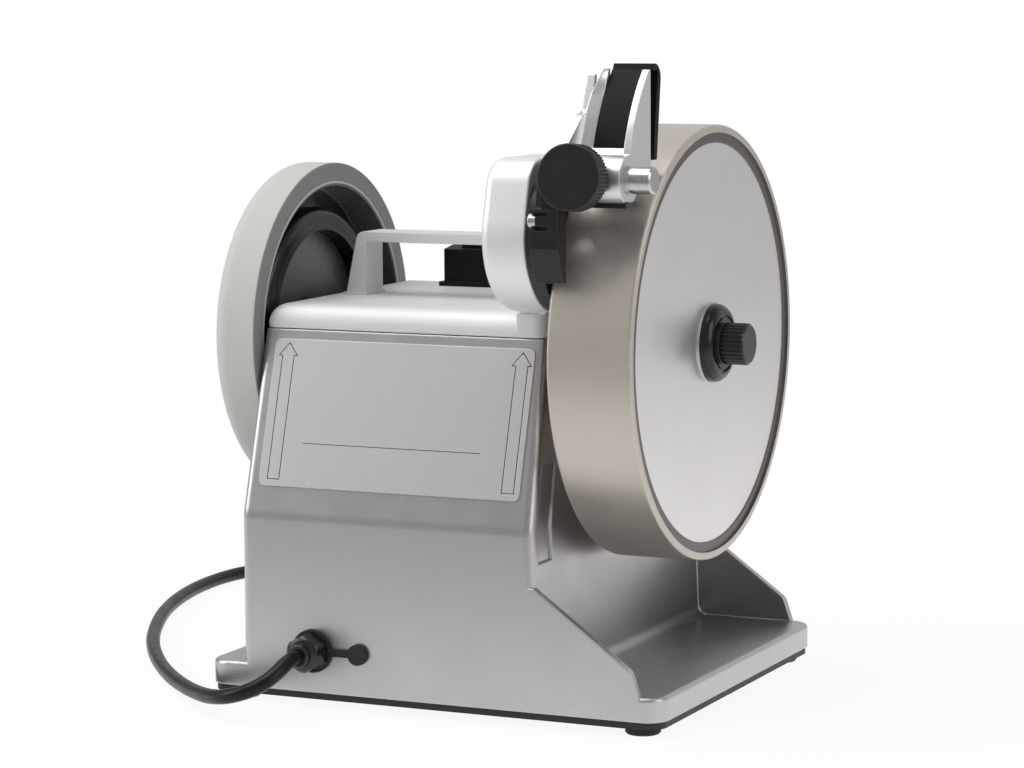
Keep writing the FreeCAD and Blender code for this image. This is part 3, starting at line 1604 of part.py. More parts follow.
def make_coil():
    path = coil_path()
    tube = sweep(path, cord_r)
    print("coil length", round(path.Length, 1), "least gap", round(least_gap(path), 2), "volume ratio",
          round(tube.Volume / (math.pi * cord_r ** 2 * path.Length), 4))
    return tube


def make_coil_tie():
    inner = coil_outer_r - coil_pitch * coil_turns / 2 - cord_r - fit_gap
    outer = coil_outer_r + cord_r + fit_gap
    low = coil_base - cord_r - fit_gap
    high = coil_base + coil_pitch + cord_r + fit_gap
    band = box(inner - tie_t, outer + tie_t, -tie_width / 2, tie_width / 2, low - tie_t, high + tie_t)
    band = band.makeFillet(tie_round, edges_where(band, lambda edge: along(edge, 1)))
    band = band.cut(box(inner, outer, -tie_width, tie_width, low, high))
    band.rotate(V(0, 0, 0), V(0, 0, 1), tie_angle)
    band.translate(V(coil_x, coil_y, 0))
    return band


def plug_start():
    return coil_x + coil_tail


def plug_z():
    return coil_base + coil_pitch


def plug_y():
    return coil_y + coil_outer_r


def make_plug():
    start = plug_start()
    nose_r = cord_r + plug_nose_wall
    nose = Part.makeCone(nose_r, plug_nose_r, plug_nose, V(start, plug_y(), plug_z()), V(1, 0, 0))
    block = box(start + plug_nose, start + plug_length, plug_y() - plug_width / 2, plug_y() + plug_width / 2,
                0.0, 2 * plug_z())
    block = block.makeFillet(plug_round, edges_where(block, lambda edge: along(edge, 0)))
    return nose.fuse(block).removeSplitter()


def make_plug_blades():
    start = plug_start() + plug_length
    blades = []
    for side in (-1, 1):
        y = plug_y() + side * blade_spread / 2
        low = plug_z() + blade_rise - blade_height / 2
        blades.append(box(start, start + blade_length, y - blade_t / 2, y + blade_t / 2,
                          low, low + blade_height))
    pin = cyl_x(earth_r, start, start + blade_length + earth_extra, plug_y(), plug_z() - earth_drop)

    def tip(edge):
        return edge.BoundBox.XMin > start + blade_length
    blades.append(pin.makeFillet(earth_tip_r, edges_where(pin, tip)))
    return blades


os.makedirs("parts", exist_ok=True)

save("housing", [make_housing()])
save("bottom_plate", [make_bottom_plate()])
save("feet", make_feet())
save("plate_screws", [screw_up(x, y, plate_z, plate_t + screw_grip) for x, y in plate_screw_places()])
save("top_cover", [make_cover()])
save("cover_screws", [screw_up(x, y, seam_height - wall, wall + screw_grip - screw_end_gap)
                      for x, y in cover_post_places()])
save("carry_handle", [make_handle()])
save("handle_screws", [screw_up(x, y, cover_top - cover_wall, cover_wall + screw_grip - screw_end_gap)
                       for x, y in handle_screw_places()])
save("switch_box", [make_switch_box()])
save("switch_rocker", [make_rocker()])
save("name_plate", [make_name_plate()])
save("bush_left", [make_left_bush()])
save("bush_right", [make_right_bush()])
save("main_shaft", [make_shaft()])
save("wheel_flange", [make_wheel_flange()])
save("grinding_wheel", [make_grinding_wheel()])
save("wheel_face_disc", [make_face_disc()])
save("wheel_washer", [make_washer()])
save("wheel_nut", [make_wheel_nut()])
save("honing_tread", [make_honing_tread()])
save("drive_wheel", [make_drive_wheel()])
save("drive_tyre", [make_tyre()])
save("hub_plate", [make_hub_plate()])
save("honing_washer", [make_honing_washer()])
save("honing_nut", [make_honing_nut()])
save("motor_stator", [make_stator()])
save("motor_windings", make_windings())
save("motor_bell_left", [make_bell(stator_left, motor_face())])
save("motor_bell_right", [make_bell(stator_right(), stator_right() + bell_length)])
save("motor_bearings", make_bearings())
save("motor_tie_bolts", make_tie_bolts())
save("motor_bracket", [make_bracket()])
save("bracket_screws", [screw_left(motor_y + dy, motor_z + dz, motor_face(), bracket_t + screw_grip - screw_r)
                        for dy, dz in bracket_screw_offsets()])
save("rotor_core", [make_rotor_core()])
save("rotor_shaft", [make_rotor_shaft()])
save("cooling_fan", [make_fan()])
save("capacitor", [make_capacitor()])
save("terminal_block", [make_terminal_block()])
save("pivot_drum", [make_drum()])
drum_screw_length = cover_top - seam_height + wall + drum_screw_grip - screw_end_gap
save("drum_screws", [screw_up(x, y, seam_height - wall, drum_screw_length) for x, y in drum_screw_places()])
save("pivot_bolt", [make_pivot_bolt()])
save("angle_arm", [make_arm()])
save("index_pin", [make_index_pin()])
save("guide_pin", [make_guide_pin()])
save("blade_guide", [make_guide()])
save("guide_band", [make_band()])
save("blade_rest", [make_blade_rest()])
save("lock_knob", [make_knob()])
save("knob_screw", [make_knob_screw()])
save("cable_gland", [make_gland()])
save("gland_locknut", [make_locknut()])
save("cable_keeper", [make_keeper()])
save("cord", [make_cord()])
save("cord_coil", [make_coil()])
save("coil_tie", [make_coil_tie()])
save("plug_body", [make_plug()])
save("plug_blades", make_plug_blades())
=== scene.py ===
import math

import bmesh
import bpy
from mathutils import Matrix, Vector


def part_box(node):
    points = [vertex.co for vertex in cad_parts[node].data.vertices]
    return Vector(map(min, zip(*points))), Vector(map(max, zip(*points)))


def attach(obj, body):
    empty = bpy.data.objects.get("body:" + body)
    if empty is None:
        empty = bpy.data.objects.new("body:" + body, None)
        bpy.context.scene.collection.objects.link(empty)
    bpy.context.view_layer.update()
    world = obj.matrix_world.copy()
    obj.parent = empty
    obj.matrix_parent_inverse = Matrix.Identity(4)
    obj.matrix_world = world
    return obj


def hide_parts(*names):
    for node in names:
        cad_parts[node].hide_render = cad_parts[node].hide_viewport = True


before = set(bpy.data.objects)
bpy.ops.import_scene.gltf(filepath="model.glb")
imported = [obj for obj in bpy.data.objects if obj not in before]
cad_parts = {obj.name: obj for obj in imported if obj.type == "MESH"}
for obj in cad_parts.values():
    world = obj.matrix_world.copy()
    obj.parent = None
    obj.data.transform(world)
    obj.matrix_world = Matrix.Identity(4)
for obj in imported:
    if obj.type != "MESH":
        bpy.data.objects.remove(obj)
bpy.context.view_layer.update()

# Viewpoint. The sharpener stands on a bench and is seen from its front right, a little above
# the spindle, through a long lens that keeps both wheels nearly parallel.
turn, rise, roll = math.radians(25.02), math.radians(6.88), math.radians(-0.40)
eye_right, eye_front, eye_height = 0.71845, 1.30623, 0.33013
backward = Vector((math.sin(turn) * math.cos(rise), -math.cos(turn) * math.cos(rise), math.sin(rise)))
level = Vector((math.cos(turn), math.sin(turn), 0.0))
upright = backward.cross(level)
sideways = math.cos(roll) * level + math.sin(roll) * upright
upward = math.cos(roll) * upright - math.sin(roll) * level
lens = bpy.data.cameras.new("viewpoint")
lens.lens = 117.16
lens.sensor_width = 36.0
viewpoint = bpy.data.objects.new("viewpoint", lens)
gland_low, gland_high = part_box("cable_gland")
exit_x, exit_y = (gland_low[0] + gland_high[0]) / 2, gland_low[1]
viewpoint.matrix_world = (Matrix.Translation((exit_x + eye_right, exit_y - eye_front, eye_height))
                          @ Matrix((sideways, upward, backward)).transposed().to_4x4())
bpy.context.collection.objects.link(viewpoint)
bpy.context.scene.camera = viewpoint

# Mains lead. A round lead, 7 mm thick in smooth black rubber, leaves the gland, sinks to the
# bench and runs round to the back, where the spare length is wound in a flat tied coil.
lead_d = 0.007
lead_steps = [
    (0.0, 0.0, 0.0265), (0.0, -0.0075, 0.0265), (-0.0015, -0.0185, 0.0210),
    (-0.0085, -0.0260, 0.0156), (-0.0210, -0.0269, 0.0116), (-0.0350, -0.0180, 0.0086),
    (-0.0505, -0.0035, 0.0063), (-0.0680, 0.0135, 0.0048), (-0.0900, 0.0370, 0.0038),
    (-0.1145, 0.0670, 0.0036), (-0.1400, 0.1045, 0.0036), (-0.1610, 0.1440, 0.0036),
    (-0.1765, 0.1780, 0.0036), (-0.1870, 0.2085, 0.0036), (-0.1940, 0.2365, 0.0036),
    (-0.1974, 0.2625, 0.0036), (-0.1970, 0.2865, 0.0036), (-0.1900, 0.3085, 0.0036),
    (-0.1750, 0.3245, 0.0036), (-0.1530, 0.3330, 0.0039), (-0.1280, 0.3352, 0.0048),
    (-0.1060, 0.3355, 0.0053), (-0.0890, 0.3355, 0.0053),
]
lead_route = [(exit_x + along, exit_y + back, height) for along, back, height in lead_steps]
coil_x, coil_y, coil_r, coil_pitch = exit_x - 0.082, exit_y + 0.2895, 0.046, 0.0075
coil_turns, coil_steps, coil_low, climb_turns, tail_reach = 6, 16, 0.0053, 0.5, 0.042
for step in range(1, coil_turns * coil_steps):
    turns = step / coil_steps
    inward = coil_turns / 2 - abs(turns - coil_turns / 2)
    swing = (coil_r - coil_pitch * inward) / math.cos(math.pi / coil_steps)
    climb = min(max((turns - coil_turns / 2 + climb_turns / 2) / climb_turns, 0.0), 1.0)
    angle = math.radians(90 - 360 * turns)
    lead_route.append((coil_x + swing * math.cos(angle), coil_y + swing * math.sin(angle),
                       coil_low + coil_pitch * climb))
tail_y, tail_z = coil_y + coil_r, coil_low + coil_pitch
lead_route += [(coil_x + along, tail_y, tail_z) for along in (0.0, tail_reach / 2, tail_reach)]
lead_curve = bpy.data.curves.new("mains_lead", "CURVE")
lead_curve.dimensions = "3D"
lead_curve.bevel_depth = lead_d / 2
lead_curve.bevel_resolution = 5
lead_curve.resolution_u = 10
lead_curve.use_fill_caps = True
lead_line = lead_curve.splines.new("NURBS")
lead_line.points.add(len(lead_route) - 1)
for point, place in zip(lead_line.points, lead_route):
    point.co = (*place, 1.0)
lead_line.order_u = 3
lead_line.use_endpoint_u = True
lead = bpy.data.objects.new("mains_lead", lead_curve)
bpy.context.collection.objects.link(lead)


def shader_of(finish):
    return finish.node_tree.nodes["Principled BSDF"]


def new_finish(name, colour, roughness, metallic=0.0):
    finish = bpy.data.materials.new(name)
    finish.use_nodes = True
    shader = shader_of(finish)
    shader.inputs["Base Color"].default_value = (*colour, 1.0)
    shader.inputs["Roughness"].default_value = roughness
    shader.inputs["Metallic"].default_value = metallic
    return finish


def add_node(finish, kind, **values):
    made = finish.node_tree.nodes.new(kind)
    for socket, value in values.items():
        made.inputs[socket.replace("_", " ")].default_value = value
    return made


def join(finish, source, target):
    finish.node_tree.links.new(source, target)


grain_low, grain_high = 0.3, 0.7


def grain(finish, scale, stretch=(1.0, 1.0, 1.0), detail=3.0):
    """Cloudy noise over the piece's own coordinates, with scale in cells per metre."""
    place = add_node(finish, "ShaderNodeTexCoord")
    shrink = add_node(finish, "ShaderNodeMapping", Scale=stretch)
    noise = add_node(finish, "ShaderNodeTexNoise", Scale=scale, Detail=detail)
    join(finish, place.outputs["Object"], shrink.inputs["Vector"])
    join(finish, shrink.outputs["Vector"], noise.inputs["Vector"])
    return noise.outputs["Fac"]


def tint(finish, pattern, dark, light):
    """Colours the finish from dark to light as the pattern goes from low to high."""
    ramp = add_node(finish, "ShaderNodeValToRGB")
    ramp.color_ramp.elements[0].position = grain_low
    ramp.color_ramp.elements[0].color = (*dark, 1.0)
    ramp.color_ramp.elements[1].position = grain_high
    ramp.color_ramp.elements[1].color = (*light, 1.0)
    join(finish, pattern, ramp.inputs["Fac"])
    join(finish, ramp.outputs["Color"], shader_of(finish).inputs["Base Color"])
    return ramp.outputs["Color"]


def ranged(finish, value, from_low, from_high, to_low, to_high):
    """Takes a value from one range to another, and stops at the ends."""
    span = add_node(finish, "ShaderNodeMapRange", From_Min=from_low, From_Max=from_high,
                    To_Min=to_low, To_Max=to_high)
    join(finish, value, span.inputs["Value"])
    return span.outputs["Result"]


def sheen(finish, pattern, smooth, rough):
    """Takes the roughness from smooth to rough as the pattern goes from low to high."""
    share = ranged(finish, pattern, grain_low, grain_high, smooth, rough)
    join(finish, share, shader_of(finish).inputs["Roughness"])


def rounded(finish, edge_r):
    """The way the surface faces once its edges are rounded by edge_r, in metres."""
    rounding = add_node(finish, "ShaderNodeBevel", Radius=edge_r)
    rounding.samples = 4
    return rounding.outputs["Normal"]


def relief(finish, pattern, height, edge_r=0.0):
    """Raises the surface by the pattern, height in metres, and rounds the edges by edge_r."""
    bump = add_node(finish, "ShaderNodeBump", Strength=1.0, Distance=height)
    join(finish, pattern, bump.inputs["Height"])
    if edge_r:
        join(finish, rounded(finish, edge_r), bump.inputs["Normal"])
    join(finish, bump.outputs["Normal"], shader_of(finish).inputs["Normal"])


def dress(finish, *names):
    for name in names:
        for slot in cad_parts[name].material_slots:
            slot.material = finish


sheath = new_finish("lead_sheath", (0.006, 0.0055, 0.0062), 0.34)
shader_of(sheath).inputs["Specular IOR Level"].default_value = 0.25
sheath_grain = grain(sheath, 120.0)
tint(sheath, sheath_grain, (0.0045, 0.004, 0.0047), (0.009, 0.0085, 0.0092))
sheen(sheath, sheath_grain, 0.30, 0.38)
relief(sheath, sheath_grain, 0.00001)
lead.data.materials.append(sheath)
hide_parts("cord", "cord_coil")
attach(lead, "frame")

# Coil tie, plug and blades. The tie is a flat rubber band round the turns, the plug is moulded
# on the end of the lead in black rubber, and its blades and earth pin are nickel on brass.
tie_rubber = new_finish("tie_rubber", (0.020, 0.020, 0.021), 0.62)
tie_grain = grain(tie_rubber, 900.0)
tint(tie_rubber, tie_grain, (0.014, 0.014, 0.015), (0.028, 0.028, 0.029))
sheen(tie_rubber, tie_grain, 0.52, 0.72)
relief(tie_rubber, grain(tie_rubber, 4200.0), 0.00004, 0.0003)
dress(tie_rubber, "coil_tie", "plug_body")

blade_metal = new_finish("blade_metal", (0.66, 0.63, 0.55), 0.28, 1.0)
blade_lines = grain(blade_metal, 900.0, (0.06, 1.0, 1.0))
tint(blade_metal, blade_lines, (0.58, 0.55, 0.46), (0.72, 0.70, 0.64))
sheen(blade_metal, blade_lines, 0.20, 0.36)
relief(blade_metal, blade_lines, 0.00001, 0.0003)
dress(blade_metal, "plug_blades")


# Housing. One die casting with the tray and both gussets, sprayed in a grey metallic paint
# that dries to a satin coat with a fine fleck, thinner along the edges, which are painted brighter as
# wear and as a highlight. The coat is painted darker as shade where the casting's own walls stand
# close, most of all in the tray.
def mix_colours(finish, share, first, second):
    """Colours the finish from the first colour, a socket, to the second as the share grows."""
    share_in, first_in, second_in, colour_out = 0, 6, 7, 2
    mixed = finish.node_tree.nodes.new("ShaderNodeMix")
    mixed.data_type = "RGBA"
    mixed.inputs[second_in].default_value = (*second, 1.0)
    join(finish, share, mixed.inputs[share_in])
    join(finish, first, mixed.inputs[first_in])
    join(finish, mixed.outputs[colour_out], shader_of(finish).inputs["Base Color"])
    return mixed.outputs[colour_out]


def reckon(finish, operation, first, second):
    """One sum of two values, where each is a socket or a number."""
    summed = finish.node_tree.nodes.new("ShaderNodeMath")
    summed.operation = operation
    summed.use_clamp = True
    for place, value in zip(summed.inputs, (first, second)):
        if isinstance(value, float):
            place.default_value = value
        else:
            join(finish, value, place)
    return summed.outputs["Value"]


def vector_sum(finish, operation, first):
    """One sum on vectors, with the first of them joined to it."""
    summed = finish.node_tree.nodes.new("ShaderNodeVectorMath")
    summed.operation = operation
    join(finish, first, summed.inputs[0])
    return summed


def wear_and_edge_highlight(finish, colour, worn_and_lit, edge_r, share):
    """Takes the colour towards a lighter worn colour along sharp edges, over a width of edge_r: part wear,
    part a painted highlight.
    """
    surface = add_node(finish, "ShaderNodeNewGeometry")
    facing = vector_sum(finish, "DOT_PRODUCT", rounded(finish, edge_r))
    join(finish, surface.outputs["Normal"], facing.inputs[1])
    off_edge = reckon(finish, "SUBTRACT", 1.0, facing.outputs["Value"])
    mix_colours(finish, reckon(finish, "MULTIPLY", off_edge, share), colour, worn_and_lit)


def paint_corner_shade(finish, colour, dark, reach, share):
    """Paints shade: takes the colour towards dark where the piece's own walls stand within reach, in
    metres.
    """
    corner = add_node(finish, "ShaderNodeAmbientOcclusion", Distance=reach)
    corner.samples = 8
    corner.only_local = True
    shade_share = reckon(finish, "SUBTRACT", 1.0, corner.outputs["AO"])
    return mix_colours(finish, reckon(finish, "MULTIPLY", shade_share, share), colour, dark)


cast_paint = new_finish("cast_paint", (0.55, 0.535, 0.547), 0.33, 0.95)
paint_fleck = grain(cast_paint, 2600.0, detail=1.0)
paint_and_shade_colour = tint(cast_paint, paint_fleck, (0.53, 0.515, 0.527), (0.57, 0.555, 0.567))
# Painted shade: the paint goes darker where the casting's own walls stand close, most of all in the tray.
paint_and_shade_colour = paint_corner_shade(cast_paint, paint_and_shade_colour, (0.12, 0.112, 0.116), 0.13, 0.70)
# Edges painted lighter: part paint wear, part painted highlight.
wear_and_edge_highlight(cast_paint, paint_and_shade_colour, (0.74, 0.73, 0.735), 0.0012, 4.0)
sheen(cast_paint, grain(cast_paint, 60.0), 0.30, 0.36)
relief(cast_paint, grain(cast_paint, 1500.0), 0.00001, 0.0012)
dress(cast_paint, "housing")

# Bottom plate, feet and screws. A black painted sheet closes the casting from below, on feet of
# the rubber that the lead's keeper tab is also cut from. It is held by zinc plated screws, and
# the other screws, the bolts and the honing side's nut and washer are plated in the same way.
plate_paint = new_finish("plate_paint", (0.014, 0.014, 0.015), 0.5)
plate_grain = grain(plate_paint, 700.0)
tint(plate_paint, plate_grain, (0.010, 0.010, 0.011), (0.019, 0.019, 0.020))
sheen(plate_paint, plate_grain, 0.42, 0.58)
relief(plate_paint, grain(plate_paint, 2600.0), 0.00003, 0.0004)
dress(plate_paint, "bottom_plate")

foot_rubber = new_finish("foot_rubber", (0.016, 0.016, 0.017), 0.7)
foot_grain = grain(foot_rubber, 1200.0)
tint(foot_rubber, foot_grain, (0.012, 0.012, 0.013), (0.024, 0.024, 0.025))
sheen(foot_rubber, foot_grain, 0.62, 0.78)
relief(foot_rubber, grain(foot_rubber, 5000.0), 0.00005, 0.0006)
dress(foot_rubber, "feet", "cable_keeper")

zinc = new_finish("zinc_plate", (0.55, 0.55, 0.56), 0.34, 1.0)
zinc_cloud = grain(zinc, 500.0)
tint(zinc, zinc_cloud, (0.46, 0.46, 0.48), (0.62, 0.62, 0.62))
sheen(zinc, zinc_cloud, 0.26, 0.42)
relief(zinc, grain(zinc, 3000.0), 0.00001, 0.0003)
dress(zinc, "plate_screws", "cover_screws", "handle_screws", "bracket_screws", "drum_screws",
      "motor_tie_bolts", "pivot_bolt", "knob_screw", "honing_nut", "honing_washer")

# Top cover and carrying handle. Castings in a lighter silver paint: the cover closes the housing
# with a rounded edge, and the handle's wedge legs are screwed to it from below.
silver_paint = new_finish("silver_paint", (0.77, 0.765, 0.765), 0.55, 0.3)
silver_fleck = grain(silver_paint, 2600.0, detail=1.0)
silver_colour = tint(silver_paint, silver_fleck, (0.755, 0.75, 0.75), (0.785, 0.78, 0.78))
# Edges painted lighter: part paint wear, part painted highlight.
wear_and_edge_highlight(silver_paint, silver_colour, (0.90, 0.90, 0.90), 0.0008, 4.0)
sheen(silver_paint, grain(silver_paint, 70.0), 0.52, 0.58)
relief(silver_paint, grain(silver_paint, 1500.0), 0.000008, 0.001)
dress(silver_paint, "top_cover", "carry_handle")

# Pivot drum. The same casting alloy under a paler silver coat, screwed to the cover's corner by
# its foot.
drum_paint = new_finish("drum_paint", (0.92, 0.913, 0.91), 0.44, 0.5)
drum_fleck = grain(drum_paint, 2600.0, detail=1.0)
drum_colour = tint(drum_paint, drum_fleck, (0.90, 0.893, 0.89), (0.94, 0.933, 0.93))
# Edges painted lighter: part paint wear, part painted highlight.
wear_and_edge_highlight(drum_paint, drum_colour, (0.96, 0.96, 0.96), 0.0008, 4.0)
sheen(drum_paint, grain(drum_paint, 70.0), 0.41, 0.47)
relief(drum_paint, grain(drum_paint, 1500.0), 0.000008, 0.001)
dress(drum_paint, "pivot_drum")

# Arm, knob, nut and switch. Smooth black mouldings that the fingers polish along the edges, which are
# also painted lighter there as a highlight, with the blade rest and the terminal block of the same kind.
# The wheel nut is glossier, and the duller switch box, painted darker as shade, holds a rocker on two
# small pins.
black_moulding = new_finish("black_moulding", (0.011, 0.0105, 0.011), 0.34)
moulding_grain = grain(black_moulding, 160.0)
moulding_colour = tint(black_moulding, moulding_grain, (0.009, 0.0085, 0.009), (0.013, 0.0122, 0.013))
# Edges painted lighter: part polish, part painted highlight.
wear_and_edge_highlight(black_moulding, moulding_colour, (0.09, 0.088, 0.09), 0.0005, 2.5)
sheen(black_moulding, moulding_grain, 0.31, 0.36)
relief(black_moulding, grain(black_moulding, 300.0), 0.000004, 0.0004)
dress(black_moulding, "angle_arm", "lock_knob", "blade_rest", "terminal_block")

nut_moulding = new_finish("nut_moulding", (0.007, 0.0065, 0.007), 0.22)
nut_grain = grain(nut_moulding, 700.0)
nut_colour = tint(nut_moulding, nut_grain, (0.005, 0.0045, 0.005), (0.010, 0.009, 0.010))
# Edges painted lighter: part polish, part painted highlight.
wear_and_edge_highlight(nut_moulding, nut_colour, (0.12, 0.115, 0.117), 0.0004, 3.0)
sheen(nut_moulding, nut_grain, 0.18, 0.27)
relief(nut_moulding, nut_grain, 0.000004, 0.0003)
dress(nut_moulding, "wheel_nut")

# Painted shade: the switch box is coloured darker than the other black mouldings because it sits in shade.
shaded_switch_black = new_finish("shaded_switch_black", (0.003, 0.003, 0.0032), 0.5)
shader_of(shaded_switch_black).inputs["Specular IOR Level"].default_value = 0.25
switch_grain = grain(shaded_switch_black, 1100.0)
tint(shaded_switch_black, switch_grain, (0.002, 0.002, 0.0022), (0.0045, 0.0045, 0.0048))
sheen(shaded_switch_black, switch_grain, 0.44, 0.58)
relief(shaded_switch_black, grain(shaded_switch_black, 5200.0), 0.00002, 0.0005)
dress(shaded_switch_black, "switch_box", "switch_rocker")

# Name plate. A satin aluminium plate glued to the leaning front, bare but for a thin rule and
# two plain rotation arrows whose outlines are filled with dark paint.
plate_metal = new_finish("plate_metal", (0.68, 0.67, 0.655), 0.36, 0.8)
plate_lines = grain(plate_metal, 3800.0, (0.10, 1.0, 1.0), detail=1.0)
plate_colour = tint(plate_metal, plate_lines, (0.665, 0.655, 0.64), (0.695, 0.685, 0.67))
# Edges painted lighter: part wear, part painted highlight.
wear_and_edge_highlight(plate_metal, plate_colour, (0.85, 0.85, 0.85), 0.0004, 4.0)
sheen(plate_metal, plate_lines, 0.37, 0.43)
relief(plate_metal, plate_lines, 0.000002, 0.0004)
dress(plate_metal, "name_plate")

front_lean, lean_height, plate_t, plate_height = 0.0248, 0.0834, 0.0006, 0.068809
plate_lean = math.atan2(front_lean, lean_height)
plate_low, plate_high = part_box("name_plate")
plate_left, plate_right = plate_low[0], plate_high[0]
plate_foot = Vector((0.0, plate_low[1] + plate_t * math.cos(plate_lean), plate_low[2]))
arrow_left_gap, arrow_right_gap, arrow_foot, arrow_top_gap = 0.0023, 0.0008, 0.0030, 0.0015
arrow_line, arrow_head, arrow_wing, arrow_shaft = 0.00035, 0.0065, 0.0051, 0.00315
arrow_tip = plate_height - arrow_top_gap
arrow_neck = arrow_tip - arrow_head
rule_w, rule_up, rule_left_gap, rule_right_gap = 0.0003, 0.0203, 0.0205, 0.0215
print_t, print_sunk = 0.00022, 0.0002
print_mesh = bmesh.new()


def flat_face(mesh, outline):
    return mesh.faces.new([mesh.verts.new((across, 0.0, up)) for across, up in outline])


def hollow(mesh, face, width):
    """Leaves only a band of the given width along the inside of a face's edges."""
    mesh.normal_update()
    bmesh.ops.inset_region(mesh, faces=[face], thickness=width, use_boundary=True, use_even_offset=True)
    bmesh.ops.delete(mesh, geom=[face], context="FACES_ONLY")


for middle in (plate_left + arrow_left_gap + arrow_wing, plate_right - arrow_right_gap - arrow_wing):
    hollow(print_mesh, flat_face(print_mesh, [
        (middle - arrow_shaft, arrow_foot), (middle + arrow_shaft, arrow_foot),
        (middle + arrow_shaft, arrow_neck), (middle + arrow_wing, arrow_neck), (middle, arrow_tip),
        (middle - arrow_wing, arrow_neck), (middle - arrow_shaft, arrow_neck)]), arrow_line)
rule_left, rule_right = plate_left + rule_left_gap, plate_right - rule_right_gap
flat_face(print_mesh, [(rule_left, rule_up), (rule_right, rule_up), (rule_right, rule_up + rule_w),
                       (rule_left, rule_up + rule_w)])
raised = bmesh.ops.extrude_face_region(print_mesh, geom=print_mesh.faces[:])
bmesh.ops.translate(print_mesh, verts=[v for v in raised["geom"] if isinstance(v, bmesh.types.BMVert)],
                    vec=(0.0, -print_t, 0.0))
bmesh.ops.recalc_face_normals(print_mesh, faces=print_mesh.faces[:])
bmesh.ops.translate(print_mesh, verts=print_mesh.verts[:], vec=(0.0, -plate_t + print_sunk, 0.0))
bmesh.ops.rotate(print_mesh, verts=print_mesh.verts[:], cent=(0.0, 0.0, 0.0),
                 matrix=Matrix.Rotation(-plate_lean, 3, "X"))
bmesh.ops.translate(print_mesh, verts=print_mesh.verts[:], vec=plate_foot)


def place_mesh(name, mesh, finish):
    data = bpy.data.meshes.new(name)
    mesh.to_mesh(data)
    mesh.free()
    data.materials.append(finish)
    piece = bpy.data.objects.new(name, data)
    bpy.context.collection.objects.link(piece)
    return piece


print_paint = new_finish("print_paint", (0.010, 0.010, 0.011), 0.6)
shader_of(print_paint).inputs["Specular IOR Level"].default_value = 0.2
print_grain = grain(print_paint, 3000.0)
tint(print_paint, print_grain, (0.007, 0.007, 0.008), (0.014, 0.014, 0.015))
sheen(print_paint, print_grain, 0.42, 0.58)
plate_print = place_mesh("plate_print", print_mesh, print_paint)
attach(plate_print, "frame")

# Spindle parts. Turned stainless steel with fine lines round the axis: both shafts, the motor's
# bearings, the wheel flange and washer, the guide pin and the index pin. The spindle runs in
# two bushes of sintered bronze.
turned_steel = new_finish("turned_steel", (0.60, 0.585, 0.58), 0.24, 1.0)
turning_lines = grain(turned_steel, 1600.0, (1.0, 0.02, 0.02), detail=1.0)
tint(turned_steel, turning_lines, (0.57, 0.555, 0.55), (0.63, 0.615, 0.61))
sheen(turned_steel, turning_lines, 0.20, 0.30)
relief(turned_steel, turning_lines, 0.000001, 0.0004)
dress(turned_steel, "main_shaft", "rotor_shaft", "wheel_flange", "wheel_washer", "guide_pin", "index_pin",
      "motor_bearings")

bronze = new_finish("sintered_bronze", (0.45, 0.30, 0.15), 0.45, 1.0)
bronze_pores = grain(bronze, 3000.0)
tint(bronze, bronze_pores, (0.33, 0.21, 0.10), (0.52, 0.36, 0.19))
sheen(bronze, bronze_pores, 0.38, 0.55)
relief(bronze, bronze_pores, 0.00003, 0.0003)
dress(bronze, "bush_left", "bush_right")

# Grinding wheel. A steel wheel with a hollow back; its rim carries a fine abrasive coat in a
# warm champagne grey, and a satin disc covers the face inside a narrow groove, painted dark as shade.
wheel_low, wheel_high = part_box("grinding_wheel")
spindle_y, spindle_z = (wheel_low[1] + wheel_high[1]) / 2, (wheel_low[2] + wheel_high[2]) / 2


def ring_share(finish, inner, outer):
    """One between two radii about the spindle axis, and none elsewhere."""
    place = add_node(finish, "ShaderNodeTexCoord")
    centred = add_node(finish, "ShaderNodeMapping", Location=(0.0, -spindle_y, -spindle_z))
    join(finish, place.outputs["Object"], centred.inputs["Vector"])
    flat = vector_sum(finish, "MULTIPLY", centred.outputs["Vector"])
    flat.inputs[1].default_value = (0.0, 1.0, 1.0)
    reach = vector_sum(finish, "LENGTH", flat.outputs["Vector"])
    past = reckon(finish, "GREATER_THAN", reach.outputs["Value"], inner)
    short = reckon(finish, "LESS_THAN", reach.outputs["Value"], outer)
    return reckon(finish, "MULTIPLY", past, short)


def beyond_share(finish, start):
    """One past a place along the spindle axis, and none before it."""
    place = add_node(finish, "ShaderNodeTexCoord")
    parted = add_node(finish, "ShaderNodeSeparateXYZ")
    join(finish, place.outputs["Object"], parted.inputs["Vector"])
    return reckon(finish, "GREATER_THAN", parted.outputs["X"], start)


groove_inner, groove_outer, groove_depth = 0.0916, 0.0964, 0.002
abrasive = new_finish("abrasive_coat", (0.62, 0.565, 0.51), 0.38, 0.65)
grit = grain(abrasive, 5200.0, detail=1.0)
coat_colour = tint(abrasive, grit, (0.59, 0.535, 0.48), (0.65, 0.595, 0.54))
# Painted shade: the walls of the narrow groove on the face are coloured dark.
groove_shade = reckon(abrasive, "MULTIPLY", ring_share(abrasive, groove_inner, groove_outer),
                      beyond_share(abrasive, wheel_high[0] - groove_depth))
mix_colours(abrasive, groove_shade, coat_colour, (0.15, 0.138, 0.13))
sheen(abrasive, grain(abrasive, 90.0), 0.35, 0.41)
relief(abrasive, grit, 0.00002, 0.0008)
dress(abrasive, "grinding_wheel")

face_satin = new_finish("face_satin", (0.82, 0.797, 0.79), 0.36, 0.85)
face_grain = grain(face_satin, 5200.0, detail=1.0)
tint(face_satin, face_grain, (0.805, 0.782, 0.775), (0.835, 0.812, 0.805))
sheen(face_satin, grain(face_satin, 50.0), 0.33, 0.39)
relief(face_satin, face_grain, 0.000004, 0.0004)
dress(face_satin, "wheel_face_disc")

